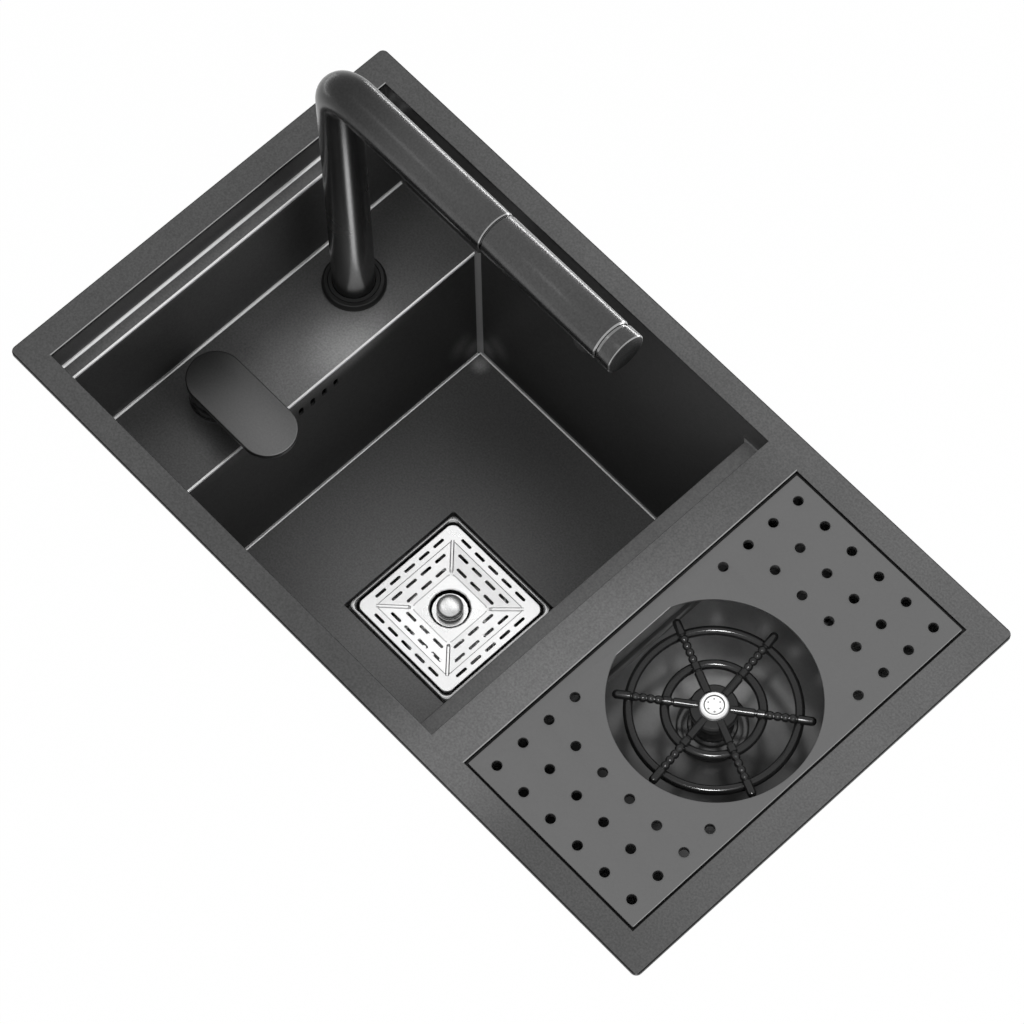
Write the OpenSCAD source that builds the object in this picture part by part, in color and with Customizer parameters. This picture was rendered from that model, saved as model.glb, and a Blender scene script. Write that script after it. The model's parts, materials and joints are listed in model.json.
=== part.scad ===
// Kitchen sink with a lift-down pull-out tap, a lever mixer and a glass rinser under a drip tray.
// Millimetres, +Z up, +X from the tap end to the rinser end, +Y from the front to the back.
// The origin is the middle of the rim, on the worktop plane that the rim's underside lies on.

/* [Rim] */
// Length of the rim, tap end to rinser end
rim_len = 552; // [530:1:640]
// Width of the rim, front to back
rim_wid = 310; // [300:1:380]
// Thickness of the rim plate
rim_t = 3; // [2.5:0.5:4]
// Corner radius of the rim
rim_corner_r = 4; // [2:0.5:10]
// Rim from the tap end to the bowl opening
rim_tap = 20; // [16:0.5:26]
// Rim in front of the bowl opening, and behind it
rim_side = 16.5; // [14:0.5:20]
// Bridge between the bowl opening and the tray recess
bridge_w = 26; // [22:0.5:36]
// Rim from the tray recess to the rinser end
rim_far = 21.5; // [16:0.5:28]

/* [Bowl] */
// Sheet thickness of the walls, ledges and floors
sheet_t = 1.5; // [1:0.1:2]
// Depth of the upper ledges below the rim's top
ledge_drop = 24.5; // [18:0.5:32]
// Width of the ledge at the tap end
ledge_tap = 11; // [8:0.5:16]
// Width of the ledge at the rinser end of the bowl
ledge_far = 17.5; // [12:0.5:22]
// Depth of the tap platform below the rim's top
platform_drop = 112; // [108:1:125]
// Length of the tap platform
platform_len = 71.5; // [69:0.5:80]
// Depth of the bowl below the rim's top
bowl_depth = 255; // [235:1:275]
// Number of overflow slots
overflow_n = 4; // [2:1:5]
// Width of an overflow slot
overflow_w = 4; // [3:0.5:5]
// Height of an overflow slot
overflow_h = 9; // [6:0.5:12]
// Spacing of the overflow slots
overflow_pitch = 10; // [8:0.5:11]
// Depth of the slots' tops below the platform
overflow_drop = 13; // [10:0.5:20]

/* [Drip tray and trough] */
// Length of the tray recess
tray_len = 142.5; // [136:0.5:160]
// Rim in front of the tray recess, and behind it
tray_side = 18; // [14:0.5:24]
// Thickness of the drip tray, which lies on the shelf under the rim plate
tray_t = 2; // [1.5:0.1:2.4]
// Gap round the drip tray
tray_gap = 1.2; // [0.8:0.1:2]
// Width of the shelf that the drip tray lies on
shelf_w = 4.5; // [3:0.5:6]
// Depth of the trough below the rim's top
trough_depth = 46; // [42:1:60]
// Radius of the rinser's hole in the drip tray
rinse_hole_r = 64.5; // [62:0.5:68]
// Distance from that hole's centre to its straight side
rinse_flat = 60.5; // [60:0.5:62]
// Radius of a drip hole
drip_r = 3; // [2:0.1:4]
// Spacing of the drip holes along the tray
drip_pitch_x = 22.75; // [20:0.05:23.5]
// Distance from the recess's front or back edge to the nearest row of drip holes
drip_edge = 13; // [9:0.5:16]

/* [Glass rinser] */
// Radius out to the tips of the arms
star_r = 61; // [56:0.5:62]
// Radius of an arm
arm_r = 2.8; // [1.6:0.1:3]
// Number of arms
arm_n = 6; // [4:1:8]
// Angle of the first arm
arm_phase = -22; // [-60:1:60]
// Radius of the outer ring's middle line
outer_ring_r = 51; // [44:0.5:54]
// Radius of the inner ring's middle line
inner_ring_r = 29.3; // [24:0.1:38]
// Radius of a ring's wire
ring_wire_r = 3; // [1.5:0.1:3.2]
// Radius of the hub
hub_r = 15; // [13:0.5:18]
// Radius of the nozzle cap
cap_r = 9; // [7:0.5:11]
// Depth of the cap's top below the drip tray's top
cap_sink = 8; // [5:0.5:12]
// Travel of the rinser when a glass presses it
press_travel = 8; // [5:0.5:8]
// Radius of the plunger
plunger_r = 7; // [6:0.5:8]
// Radius of the valve's shank in the trough's floor
shank_r = 11; // [10.6:0.1:12]
// Length of the shank below the trough's floor
shank_len = 40; // [34:1:60]
// Radius of the water inlet's thread, as on a half-inch pipe thread
inlet_thread_r = 10.48; // [8:0.01:10.5]
// Length of the inlet thread below the shank
inlet_thread_len = 15; // [10:1:20]

/* [Tap] */
// Diameter of the riser, spout and spray head
tube_d = 28; // [24:0.5:28]
// Wall of the tap's tube
tube_wall = 1.5; // [1:0.1:2]
// Height of the spout's axis above the rim's top
spout_up = 142; // [120:1:155]
// Reach from the riser's axis to the end of the spray head
spout_reach = 246; // [220:1:255]
// Radius of the bend's middle line
bend_r = 18; // [16:0.5:30]
// Length of the spray head, with its selector ring
spray_len = 108.5; // [90:0.5:120]
// Length of the selector ring
selector_len = 10; // [8:0.5:14]
// Width of the groove between the spray head and the selector ring
groove_w = 2.2; // [0.8:0.1:3]
// Length of the stem that docks in the spout
dock_len = 24; // [18:0.5:30]
// Radius of the spray nozzle
nozzle_r = 9.5; // [7:0.5:10]
// How far the nozzle stands out below the spray head
nozzle_out = 9; // [4:0.5:10]
// Distance from the end of the spray head to the nozzle's axis
nozzle_back = 30; // [26:1:45]
// Distance from the lower wall at the tap end to the riser's axis
tap_from_wall = 33.5; // [30:0.5:38]
// Distance from the back wall to the riser's axis
tap_from_back = 73; // [60:0.5:80]
// Radius of the cover ring round the riser
escutcheon_r = 21; // [18:0.5:22]
// Height of that cover ring
escutcheon_h = 5; // [4:0.5:8]
// Radius of the threaded sleeve
sleeve_r = 16.5; // [16:0.1:17]
// Length of the sleeve below the platform
sleeve_len = 60; // [45:1:80]
// Height of the collar that slides with the riser
collar_h = 18; // [12:1:25]

/* [Mixer] */
// Distance from the lower wall at the tap end to the mixer's axis
mixer_from_wall = 34; // [30:0.5:38]
// Distance from the front wall to the mixer's axis
mixer_from_front = 86.5; // [80:0.5:95]
// Radius of the mixer's domed body
dome_r = 16.5; // [15:0.1:17]
// Height of the dome's centre above the platform
dome_up = 3.5; // [3:0.5:5]
// Length of the lever between the centres of its round ends
lever_len = 49.5; // [40:0.5:60]
// Width of the lever
lever_w = 38; // [34:0.5:40]
// Thickness of the lever
lever_t = 5; // [3:0.5:7]
// Radius of the threaded neck of the mixer
neck_r = 15; // [13:0.5:16]
// Length of the neck below the platform
neck_len = 40; // [35:1:50]
// Radius of the valve housing below the neck
housing_r = 20; // [18:0.5:22]
// Height of the valve housing
housing_h = 36; // [30:1:45]
// Radius of the threaded holes for the water hoses
hose_r = 5; // [4:0.1:6]
// Depth of those holes
hose_len = 12; // [8:0.5:16]

/* [Drain] */
// Side of the square drain cover
cover_side = 96; // [90:0.5:100]
// Gap round the drain cover
cover_gap = 1; // [1:0.1:2]
// Thickness of the drain cover
cover_t = 2; // [1.5:0.1:2.5]
// Depth of the square recess in the bowl's floor
pan_depth = 8; // [7.5:0.5:12]
// Offset of the drain from the middle of the bowl's floor, towards the rinser
drain_off_x = 2.5; // [-10:0.5:10]
// Offset of the drain towards the back
drain_off_y = -4.5; // [-10:0.5:10]
// Radius of the drain body
drain_r = 40; // [38:0.5:41]
// Height of the drain body
drain_h = 48; // [42:1:60]
// Radius of the drain's outlet thread, as on a pipe thread of one and a half inches
outlet_r = 23.9; // [22:0.1:26]
// Length of the outlet thread
outlet_len = 22; // [16:1:30]
// Radius of the knob
knob_r = 9; // [7:0.5:10]
// Height of the knob above its seat
knob_h = 8; // [6:0.5:9]
// Radius of the dish that the knob sits in
dish_r = 13.5; // [12:0.5:15]
// Radius of the strainer basket
basket_r = 36; // [33:0.5:37]
// Height of the strainer basket
basket_h = 26; // [20:1:30]

/* [Fixings] */
// Running gap between pieces that move against each other
run_gap = 0.3; // [0.2:0.05:0.4]
// Clearance of a threaded part in its hole in the sheet
hole_gap = 0.5; // [0.3:0.1:1]
// Thickness of the rubber washers and gaskets
washer_t = 3; // [2:0.5:4]
// Height of the lock nuts
nut_h = 8; // [6:0.5:10]
// Reach of a clip from the wall
clip_out = 14; // [10:0.5:14]
// Length of a clip along the wall
clip_w = 18; // [12:1:24]
// Depth of a clip's arm below the worktop plane
clip_drop = 46; // [35:1:60]
// Thickness of a clip
clip_t = 2; // [1.5:0.5:3]
// Radius of a clip's screw
screw_r = 2; // [1.5:0.5:2.5]
// Length of a clip's screw
screw_len = 24; // [18:1:30]
// Thickness of the sound pads
pad_t = 3; // [2:0.5:4]

/* [Hidden] */
$fn = 64;

// Overrun of every cut past the surface that it opens
over = 1;

// Rim and bowl
x_tap = -rim_len / 2;
x_far = rim_len / 2;
y_front = -rim_wid / 2;
y_back = rim_wid / 2;
tray_x1 = x_far - rim_far;
tray_x0 = tray_x1 - tray_len;
tray_y0 = y_front + tray_side;
tray_y1 = y_back - tray_side;
bowl_x0 = x_tap + rim_tap;
bowl_x1 = tray_x0 - bridge_w;
bowl_y0 = y_front + rim_side;
bowl_y1 = y_back - rim_side;
ledge_z = rim_t - ledge_drop;
lower_x0 = bowl_x0 + ledge_tap;
lower_x1 = bowl_x1 - ledge_far;
plat_z = rim_t - platform_drop;
plat_x1 = lower_x0 + platform_len;
floor_z = rim_t - bowl_depth;

// Trough, whose walls hang from the shelf under the rim plate
trough_x0 = tray_x0 + shelf_w;
trough_x1 = tray_x1 - shelf_w;
trough_y0 = tray_y0 + shelf_w;
trough_y1 = tray_y1 - shelf_w;
trough_z = rim_t - trough_depth;
shelf_lap = 4;

// Rows of drip holes, from the outermost row to the one beside the rinser's hole
drip_inset = 3.5;
drip_rows = 4;
drip_columns = 6;
drip_row_y = tray_y1 - drip_edge;
drip_last_y = rinse_hole_r - drip_inset;
drip_pitch_y = (drip_row_y - drip_last_y) / (drip_rows - 1);

// Glass rinser
rinse_off_x = 1;
rinse_off_y = -2.5;
rinse_x = (tray_x0 + tray_x1) / 2 + rinse_off_x;
rinse_y = rinse_off_y;
cap_h = 3;
cap_z = tray_t - cap_sink;
hub_h = 5;
hub_top = cap_z - cap_h;
hub_z = hub_top - hub_h;
arm_z = hub_top - arm_r / 2;
ring_sink = 2.4;
arm_inset = 1;
ring_z = arm_z - arm_r - ring_wire_r + ring_sink;
valve_top = hub_z - press_travel - 2 * run_gap;
valve_wall = 6;
valve_step = 2;
valve_r = plunger_r + valve_wall;
valve_flange_r = 22;
valve_flange_h = 4;
gasket_t = 1.5;
valve_foot = trough_z + gasket_t;
bore_r = plunger_r + run_gap;
plunger_len = 22;
piston_z = hub_z - plunger_len;
spring_len = 24;
spring_wall = 1.5;
spring_z = piston_z - spring_len;
shank_end = trough_z - sheet_t - shank_len;
thread_end = shank_end - inlet_thread_len;
inlet_r = 5;
seal_h = 3;
seal_w = 2;
outlet_y = 107;
outlet_r_out = 16;
outlet_r_in = 13.5;
outlet_neck = 14;
spigot_r = 15;
spigot_len = 24;
spigot_flange_r = 20;
spigot_flange_h = 1;
grate_r = 2.5;
grate_n = 6;
grate_ring = 8;

// Tap
tube_r = tube_d / 2;
tube_in_r = tube_r - tube_wall;
guide_r = tube_r + run_gap;
tap_x = lower_x0 + tap_from_wall;
tap_y = bowl_y1 - tap_from_back;
spout_z = rim_t + spout_up;
sleeve_end = plat_z - sheet_t - sleeve_len;
collar_top = sleeve_end - run_gap;
collar_end = collar_top - collar_h;
lip_h = 4;
lip_step = 1;
lip_r = sleeve_r - lip_step;
riser_end = collar_end - run_gap - lip_h;
spray_x1 = tap_x + spout_reach;
spray_x0 = spray_x1 - spray_len;
selector_x0 = spray_x1 - selector_len;
shell_x1 = selector_x0 - groove_w;
shell_wall = 2.5;
shell_in_r = tube_r - shell_wall;
spigot_in = 8;
dock_wall = 2.5;
stem_r = tube_in_r - dock_wall - run_gap;
stem_bore_r = 5;
stem_flange = 10;
nozzle_x = spray_x1 - nozzle_back;
nozzle_end = spout_z - tube_r - nozzle_out;
nozzle_sink = 2;
wiper_w = 2.4;
wiper_h = 1.6;
nut_w = 5;

// Mixer
mixer_x = lower_x0 + mixer_from_wall;
mixer_y = bowl_y0 + mixer_from_front;
pivot_z = plat_z + dome_up;
base_ring_w = 2;
base_ring_r = dome_r + base_ring_w;
base_ring_h = 2.5;
core_r = 9;
rotor_r = core_r - run_gap;
rotor_up = 4;
rotor_slot = 8;
lever_stem_r = 3.5;
stem_tail = 5;
pin_r = 1.5;
pin_gap = 0.05;
hub_gap = 0.5;
skirt_up = 8;
roof_t = 1.5;
hub_over = 1;
lever_hub_r = dome_r + hub_over;
hub_cap_z = pivot_z + dome_r + hub_gap + roof_t;
plug_r = 1.5;
plug_len = 4;
plug_up = 13;
housing_top = plat_z - sheet_t - neck_len;
housing_end = housing_top - housing_h;
hose_ring = 11;
hose_n = 3;

// Drain
drain_x = (plat_x1 + lower_x1) / 2 + drain_off_x;
drain_y = drain_off_y;
pan_side = cover_side + 2 * cover_gap;
pan_z = floor_z - pan_depth;
drain_end = pan_z - drain_h;
flange_w = 3;
drain_wall = 1.5;
outlet_wall = 2.5;
cover_wall = 1.6;
flange_gap = 0.3;
dish_depth = 3;
dish_t = 1;
knob_gap = 0.3;
knob_stem_r = 3;
basket_t = 1;
basket_drop = 14;
basket_z = floor_z - basket_drop;
basket_hole_r = 2;
basket_hole_n = 12;
basket_ring_share = [0.33, 0.56, 0.78];
slot_w = 2.2;
slot_pitch_share = 0.135;
slot_len_share = 0.095;
slot_row_share = [0.405, 0.315, 0.235];
slot_count = [5, 4, 3];

// Overflow housing
overflow_y = -1;
overflow_wall = 2;
overflow_gap = 1;
fittings_x = max(tap_x + sleeve_r + nut_w, mixer_x + neck_r + nut_w, mixer_x + housing_r);
overflow_box_x = plat_x1 - sheet_t - fittings_x - overflow_gap;
overflow_margin = 7;
overflow_box_y = (overflow_n - 1) * overflow_pitch + overflow_w + 2 * overflow_margin;
overflow_box_up = 4;
overflow_box_down = 14;
overflow_spigot_wall = 1.5;
overflow_spigot_edge = 0.5;
overflow_spigot_len = 16;
hose_wall = 3.5;
overflow_spigot_r = (overflow_box_x - overflow_spigot_edge - hose_wall) / 2;
overflow_spigot_x = plat_x1 - sheet_t - hose_wall - overflow_spigot_r;

// Groove for the sealing bead under the rim
bead_edge = 10;
bead_w = 2;
bead_h = 0.6;

// Fixings
clip_shares = [0.12, 0.5, 0.88];
clip_plate_up = 10;
clip_plate_down = 12;
foot_r = 4;
foot_h = 2;
pad_shares = [0.3, 0.7];
pad_z_shares = [0.25, 0.85];

// Finishes
steel_c = "#5b5b5b";
tap_c = "#4e4e4e";
tray_c = "#707070";
polished_c = "#e4e4e4";
brass_c = "#b5a36a";
rubber_c = "#222222";
plastic_c = "#343434";

// A box between two corners
module block(low, high) {
    translate(low) cube(high - low);
}

// An upright round bar
module rod(r, z0, z1) {
    translate([0, 0, z0]) cylinder(r = r, h = z1 - z0);
}

// An upright round tube
module tube(r_out, r_in, z0, z1) {
    translate([0, 0, z0]) linear_extrude(z1 - z0) difference() {
        circle(r = r_out);
        circle(r = r_in);
    }
}

// A round bar along X
module rod_x(r, x0, x1) {
    translate([x0, 0, 0]) rotate([0, 90, 0]) cylinder(r = r, h = x1 - x0);
}

// A round tube along X
module tube_x(r_out, r_in, x0, x1) {
    translate([x0, 0, 0]) rotate([0, 90, 0]) linear_extrude(x1 - x0) difference() {
        circle(r = r_out);
        circle(r = r_in);
    }
}

// A hexagonal lock nut, with the thread's bore
module hex_nut(bore, width, z0, z1) {
    difference() {
        translate([0, 0, z0]) cylinder(r = bore + width, h = z1 - z0, $fn = 6);
        rod(bore, z0 - over, z1 + over);
    }
}

// The rim's outline with its round corners
module rim_outline() {
    square([rim_len - 2 * rim_corner_r, rim_wid], center = true);
    square([rim_len, rim_wid - 2 * rim_corner_r], center = true);
    for (sx = [-1, 1], sy = [-1, 1])
        translate([sx * (x_far - rim_corner_r), sy * (y_back - rim_corner_r)]) circle(r = rim_corner_r);
}

// Space inside a margin from the rim's edge, up to the roof of the bead's groove
module bead_space(margin)
    block([margin - x_far, y_front + margin, -over], [x_far - margin, y_back - margin, bead_h]);

// Rim plate with the bowl opening, the tray recess and the groove for its sealing bead
module rim_plate() color(steel_c) {
    difference() {
        linear_extrude(rim_t) difference() {
            rim_outline();
            translate([bowl_x0, bowl_y0]) square([bowl_x1 - bowl_x0, bowl_y1 - bowl_y0]);
            translate([tray_x0, tray_y0]) square([tray_len, tray_y1 - tray_y0]);
        }
        difference() {
            bead_space(bead_edge);
            bead_space(bead_edge + bead_w);
        }
    }
}

// Stepped outline of the long walls, along X and Z
long_wall = [
    [bowl_x0 - sheet_t, 0],
    [bowl_x1 + sheet_t, 0],
    [bowl_x1 + sheet_t, ledge_z - sheet_t],
    [lower_x1 + sheet_t, ledge_z - sheet_t],
    [lower_x1 + sheet_t, floor_z - sheet_t],
    [plat_x1 - sheet_t, floor_z - sheet_t],
    [plat_x1 - sheet_t, plat_z - sheet_t],
    [lower_x0 - sheet_t, plat_z - sheet_t],
    [lower_x0 - sheet_t, ledge_z - sheet_t],
    [bowl_x0 - sheet_t, ledge_z - sheet_t]
];

// Front wall of the bowl
module front_wall() color(steel_c) {
    translate([0, bowl_y0, 0]) rotate([90, 0, 0]) linear_extrude(sheet_t) polygon(long_wall);
}

// Back wall of the bowl
module back_wall() color(steel_c) {
    translate([0, bowl_y1 + sheet_t, 0]) rotate([90, 0, 0]) linear_extrude(sheet_t) polygon(long_wall);
}

// Wall from the rim down to the ledge at the tap end
module tap_upper_wall() color(steel_c) {
    block([bowl_x0 - sheet_t, bowl_y0, ledge_z - sheet_t], [bowl_x0, bowl_y1, 0]);
}

// Ledge at the tap end
module tap_ledge() color(steel_c) {
    block([bowl_x0, bowl_y0, ledge_z - sheet_t], [lower_x0, bowl_y1, ledge_z]);
}

// Wall from the ledge down to the tap platform
module tap_lower_wall() color(steel_c) {
    block([lower_x0 - sheet_t, bowl_y0, plat_z - sheet_t], [lower_x0, bowl_y1, ledge_z - sheet_t]);
}

// Platform that carries the tap and the mixer
module tap_platform() color(steel_c) {
    difference() {
        block([lower_x0, bowl_y0, plat_z - sheet_t], [plat_x1, bowl_y1, plat_z]);
        translate([tap_x, tap_y, 0]) rod(sleeve_r + hole_gap, plat_z - sheet_t - over, plat_z + over);
        translate([mixer_x, mixer_y, 0]) rod(neck_r + hole_gap, plat_z - sheet_t - over, plat_z + over);
    }
}

// Wall from the platform down to the floor, with the overflow slots
module bowl_tap_wall() color(steel_c) {
    first = overflow_y - (overflow_n - 1) * overflow_pitch / 2;
    top = plat_z - overflow_drop;
    difference() {
        block([plat_x1 - sheet_t, bowl_y0, floor_z - sheet_t], [plat_x1, bowl_y1, plat_z - sheet_t]);
        for (i = [0 : overflow_n - 1])
            translate([plat_x1 - sheet_t - over, first + i * overflow_pitch, top - overflow_h])
                translate([0, -overflow_w / 2, 0]) cube([sheet_t + 2 * over, overflow_w, overflow_h]);
    }
}

// Wall from the rim down to the ledge at the rinser end of the bowl
module far_upper_wall() color(steel_c) {
    block([bowl_x1, bowl_y0, ledge_z - sheet_t], [bowl_x1 + sheet_t, bowl_y1, 0]);
}

// Ledge at the rinser end of the bowl
module far_ledge() color(steel_c) {
    block([lower_x1, bowl_y0, ledge_z - sheet_t], [bowl_x1, bowl_y1, ledge_z]);
}

// Wall from that ledge down to the floor
module far_lower_wall() color(steel_c) {
    block([lower_x1, bowl_y0, floor_z - sheet_t], [lower_x1 + sheet_t, bowl_y1, ledge_z - sheet_t]);
}

// Floor of the bowl, open over the drain's recess
module bowl_floor() color(steel_c) {
    half = pan_side / 2;
    difference() {
        block([plat_x1, bowl_y0, floor_z - sheet_t], [lower_x1, bowl_y1, floor_z]);
        translate([drain_x, drain_y, 0])
            block([-half, -half, floor_z - sheet_t - over], [half, half, floor_z + over]);
    }
}

// Square recess under the drain cover
module drain_pan() color(steel_c) {
    half = pan_side / 2;
    outer = half + sheet_t;
    translate([drain_x, drain_y, 0]) difference() {
        block([-outer, -outer, pan_z - sheet_t], [outer, outer, floor_z - sheet_t]);
        block([-half, -half, pan_z], [half, half, floor_z]);
        rod(drain_r + hole_gap, pan_z - sheet_t - over, pan_z + over);
    }
}

// Shelf under the rim plate that the drip tray lies on
module tray_shelf() color(steel_c) {
    difference() {
        block(
            [tray_x0 - shelf_lap, tray_y0 - shelf_lap, -sheet_t],
            [tray_x1 + shelf_lap, tray_y1 + shelf_lap, 0]
        );
        block([trough_x0, trough_y0, -sheet_t - over], [trough_x1, trough_y1, over]);
    }
}

// Walls of the trough
module trough_walls() color(steel_c) {
    low = trough_z - sheet_t;
    difference() {
        block(
            [trough_x0 - sheet_t, trough_y0 - sheet_t, low],
            [trough_x1 + sheet_t, trough_y1 + sheet_t, -sheet_t]
        );
        block([trough_x0, trough_y0, low - over], [trough_x1, trough_y1, over]);
    }
}

// Floor of the trough, with holes for the rinser's shank and the outlet
module trough_floor() color(steel_c) {
    difference() {
        block([trough_x0, trough_y0, trough_z - sheet_t], [trough_x1, trough_y1, trough_z]);
        translate([rinse_x, rinse_y, 0])
            rod(shank_r + hole_gap, trough_z - sheet_t - over, trough_z + over);
        translate([rinse_x, rinse_y + outlet_y, 0])
            rod(outlet_r_out + hole_gap, trough_z - sheet_t - over, trough_z + over);
    }
}

// Rubber pads on the outside of the front, back and far walls
module sound_pads() color(rubber_c) {
    bowl_x = lower_x1 - plat_x1;
    bowl_z = bowl_depth - platform_drop;
    px = [for (s = pad_shares) plat_x1 + s * bowl_x];
    pz = [for (s = pad_z_shares) floor_z + s * bowl_z];
    py = [for (s = pad_shares) bowl_y0 + s * (bowl_y1 - bowl_y0)];
    block([px[0], bowl_y0 - sheet_t - pad_t, pz[0]], [px[1], bowl_y0 - sheet_t, pz[1]]);
    block([px[0], bowl_y1 + sheet_t, pz[0]], [px[1], bowl_y1 + sheet_t + pad_t, pz[1]]);
    block([lower_x1 + sheet_t, py[0], pz[0]], [lower_x1 + sheet_t + pad_t, py[1], pz[1]]);
}

// Places each of the clips, three on the front wall and three on the back wall
module at_clips() {
    span = lower_x1 - lower_x0;
    for (s = clip_shares, side = [0, 1])
        translate([lower_x0 + s * span, side == 0 ? bowl_y0 - sheet_t : bowl_y1 + sheet_t, 0])
            rotate([0, 0, side * 180]) children();
}

// Angle brackets that hold the clamping screws
module clip_brackets() color(polished_c) {
    at_clips() difference() {
        union() {
            block(
                [-clip_w / 2, -clip_t, -clip_drop - clip_plate_down],
                [clip_w / 2, 0, -clip_drop + clip_plate_up]
            );
            block([-clip_w / 2, -clip_out, -clip_drop], [clip_w / 2, -clip_t, -clip_drop + clip_t]);
        }
        translate([0, -clip_out / 2 - clip_t / 2, 0])
            rod(screw_r, -clip_drop - over, -clip_drop + clip_t + over);
    }
}

// Screws that press up against the worktop from below
module clip_screws() color(polished_c) {
    at_clips() translate([0, -clip_out / 2 - clip_t / 2, 0]) {
        rod(screw_r, -clip_drop - screw_len / 2, -clip_drop + screw_len / 2);
        rod(foot_r, -clip_drop + screw_len / 2, -clip_drop + screw_len / 2 + foot_h);
    }
}

// Overflow housing behind the slots, with its hose spigot
module overflow_housing() color(plastic_c) {
    x1 = plat_x1 - sheet_t;
    x0 = x1 - overflow_box_x;
    top = plat_z - overflow_drop + overflow_box_up;
    low = plat_z - overflow_drop - overflow_h - overflow_box_down;
    y0 = overflow_y - overflow_box_y / 2;
    y1 = overflow_y + overflow_box_y / 2;
    difference() {
        union() {
            block([x0, y0, low], [x1, y1, top]);
            translate([overflow_spigot_x, overflow_y, 0])
                rod(overflow_spigot_r, low - overflow_spigot_len, low);
        }
        block(
            [x0 + overflow_wall, y0 + overflow_wall, low + overflow_wall],
            [x1 + over, y1 - overflow_wall, top - overflow_wall]
        );
        translate([overflow_spigot_x, overflow_y, 0])
            rod(
                overflow_spigot_r - overflow_spigot_wall,
                low - overflow_spigot_len - over,
                low + overflow_wall + over
            );
    }
}

// Cup of the drain, which hangs in the recess by its flange
module drain_body() color(polished_c) {
    translate([drain_x, drain_y, 0]) {
        tube(drain_r + flange_w, drain_r - drain_wall, pan_z, pan_z + drain_wall);
        tube(drain_r, drain_r - drain_wall, drain_end, pan_z);
    }
}

// Floor of the drain's cup
module drain_base() color(polished_c) {
    translate([drain_x, drain_y, 0])
        tube(drain_r, outlet_r - outlet_wall, drain_end - drain_wall, drain_end);
}

// Threaded tail of the drain, for the trap's nut
module drain_tail() color(polished_c) {
    top = drain_end - drain_wall;
    translate([drain_x, drain_y, 0]) tube(outlet_r, outlet_r - outlet_wall, top - outlet_len, top);
}

// Gasket between the recess and the drain's lock nut
module drain_gasket() color(rubber_c) {
    under = pan_z - sheet_t;
    translate([drain_x, drain_y, 0]) tube(drain_r + flange_w + sheet_t, drain_r, under - washer_t, under);
}

// Lock nut of the drain body
module drain_lock_nut() color(plastic_c) {
    top = pan_z - sheet_t - washer_t;
    translate([drain_x, drain_y, 0]) tube(drain_r + nut_w, drain_r, top - nut_h, top);
}

// Outlet of the trough, with its round grate
module trough_outlet() color(polished_c) {
    top = trough_z + spigot_flange_h;
    translate([rinse_x, rinse_y + outlet_y, 0]) {
        difference() {
            rod(spigot_flange_r, trough_z, top);
            for (i = [0 : grate_n - 1])
                rotate([0, 0, i * 360 / grate_n]) translate([grate_ring, 0, 0])
                    rod(grate_r, trough_z - over, top + over);
        }
        tube(outlet_r_out, outlet_r_in, trough_z - outlet_neck, trough_z);
        tube(spigot_r, outlet_r_in, trough_z - outlet_neck - spigot_len, trough_z - outlet_neck);
    }
}

// Lock nut of the trough's outlet
module trough_outlet_nut() color(plastic_c) {
    top = trough_z - sheet_t;
    translate([rinse_x, rinse_y + outlet_y, 0]) hex_nut(outlet_r_out, nut_w, top - nut_h, top);
}

// Cover ring round the riser, with a groove for the wiper seal
module tap_escutcheon() color(tap_c) {
    top = plat_z + escutcheon_h;
    translate([tap_x, tap_y, 0]) {
        tube(escutcheon_r, guide_r, plat_z, top - wiper_h);
        tube(escutcheon_r, guide_r + wiper_w, top - wiper_h, top);
    }
}

// Wiper seal in the cover ring
module tap_seal() color(rubber_c) {
    top = plat_z + escutcheon_h;
    translate([tap_x, tap_y, 0]) tube(guide_r + wiper_w, guide_r, top - wiper_h, top);
}

// Threaded sleeve that guides the riser
module tap_sleeve() color(brass_c) {
    translate([tap_x, tap_y, 0]) tube(sleeve_r, guide_r, sleeve_end, plat_z);
}

// Rubber washers under the platform, one on the sleeve and one on the mixer's neck
module platform_washers() color(rubber_c) {
    top = plat_z - sheet_t;
    translate([tap_x, tap_y, 0]) tube(sleeve_r + nut_w, sleeve_r, top - washer_t, top);
    translate([mixer_x, mixer_y, 0]) tube(neck_r + nut_w, neck_r, top - washer_t, top);
}

// Lock nut of the sleeve
module tap_lock_nut() color(brass_c) {
    top = plat_z - sheet_t - washer_t;
    translate([tap_x, tap_y, 0]) hex_nut(sleeve_r, nut_w, top - nut_h, top);
}

// Domed body of the mixer on the platform
module mixer_base() color(tap_c) {
    translate([mixer_x, mixer_y, 0]) difference() {
        union() {
            rod(base_ring_r, plat_z, plat_z + base_ring_h);
            intersection() {
                translate([0, 0, pivot_z]) sphere(r = dome_r);
                rod(base_ring_r, plat_z, pivot_z + dome_r + over);
            }
        }
        rod(core_r, plat_z - over, pivot_z + dome_r + over);
    }
}

// Threaded neck and valve housing of the mixer, below the platform
module mixer_body() color(brass_c) {
    translate([mixer_x, mixer_y, 0]) difference() {
        union() {
            tube(neck_r, core_r, housing_top, plat_z);
            rod(housing_r, housing_end, housing_top);
        }
        for (i = [0 : hose_n - 1])
            rotate([0, 0, i * 360 / hose_n]) translate([hose_ring, 0, 0])
                rod(hose_r, housing_end - over, housing_end + hose_len);
    }
}

// Lock nut of the neck
module mixer_lock_nut() color(brass_c) {
    top = plat_z - sheet_t - washer_t;
    translate([mixer_x, mixer_y, 0]) hex_nut(neck_r, nut_w, top - nut_h, top);
}

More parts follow.
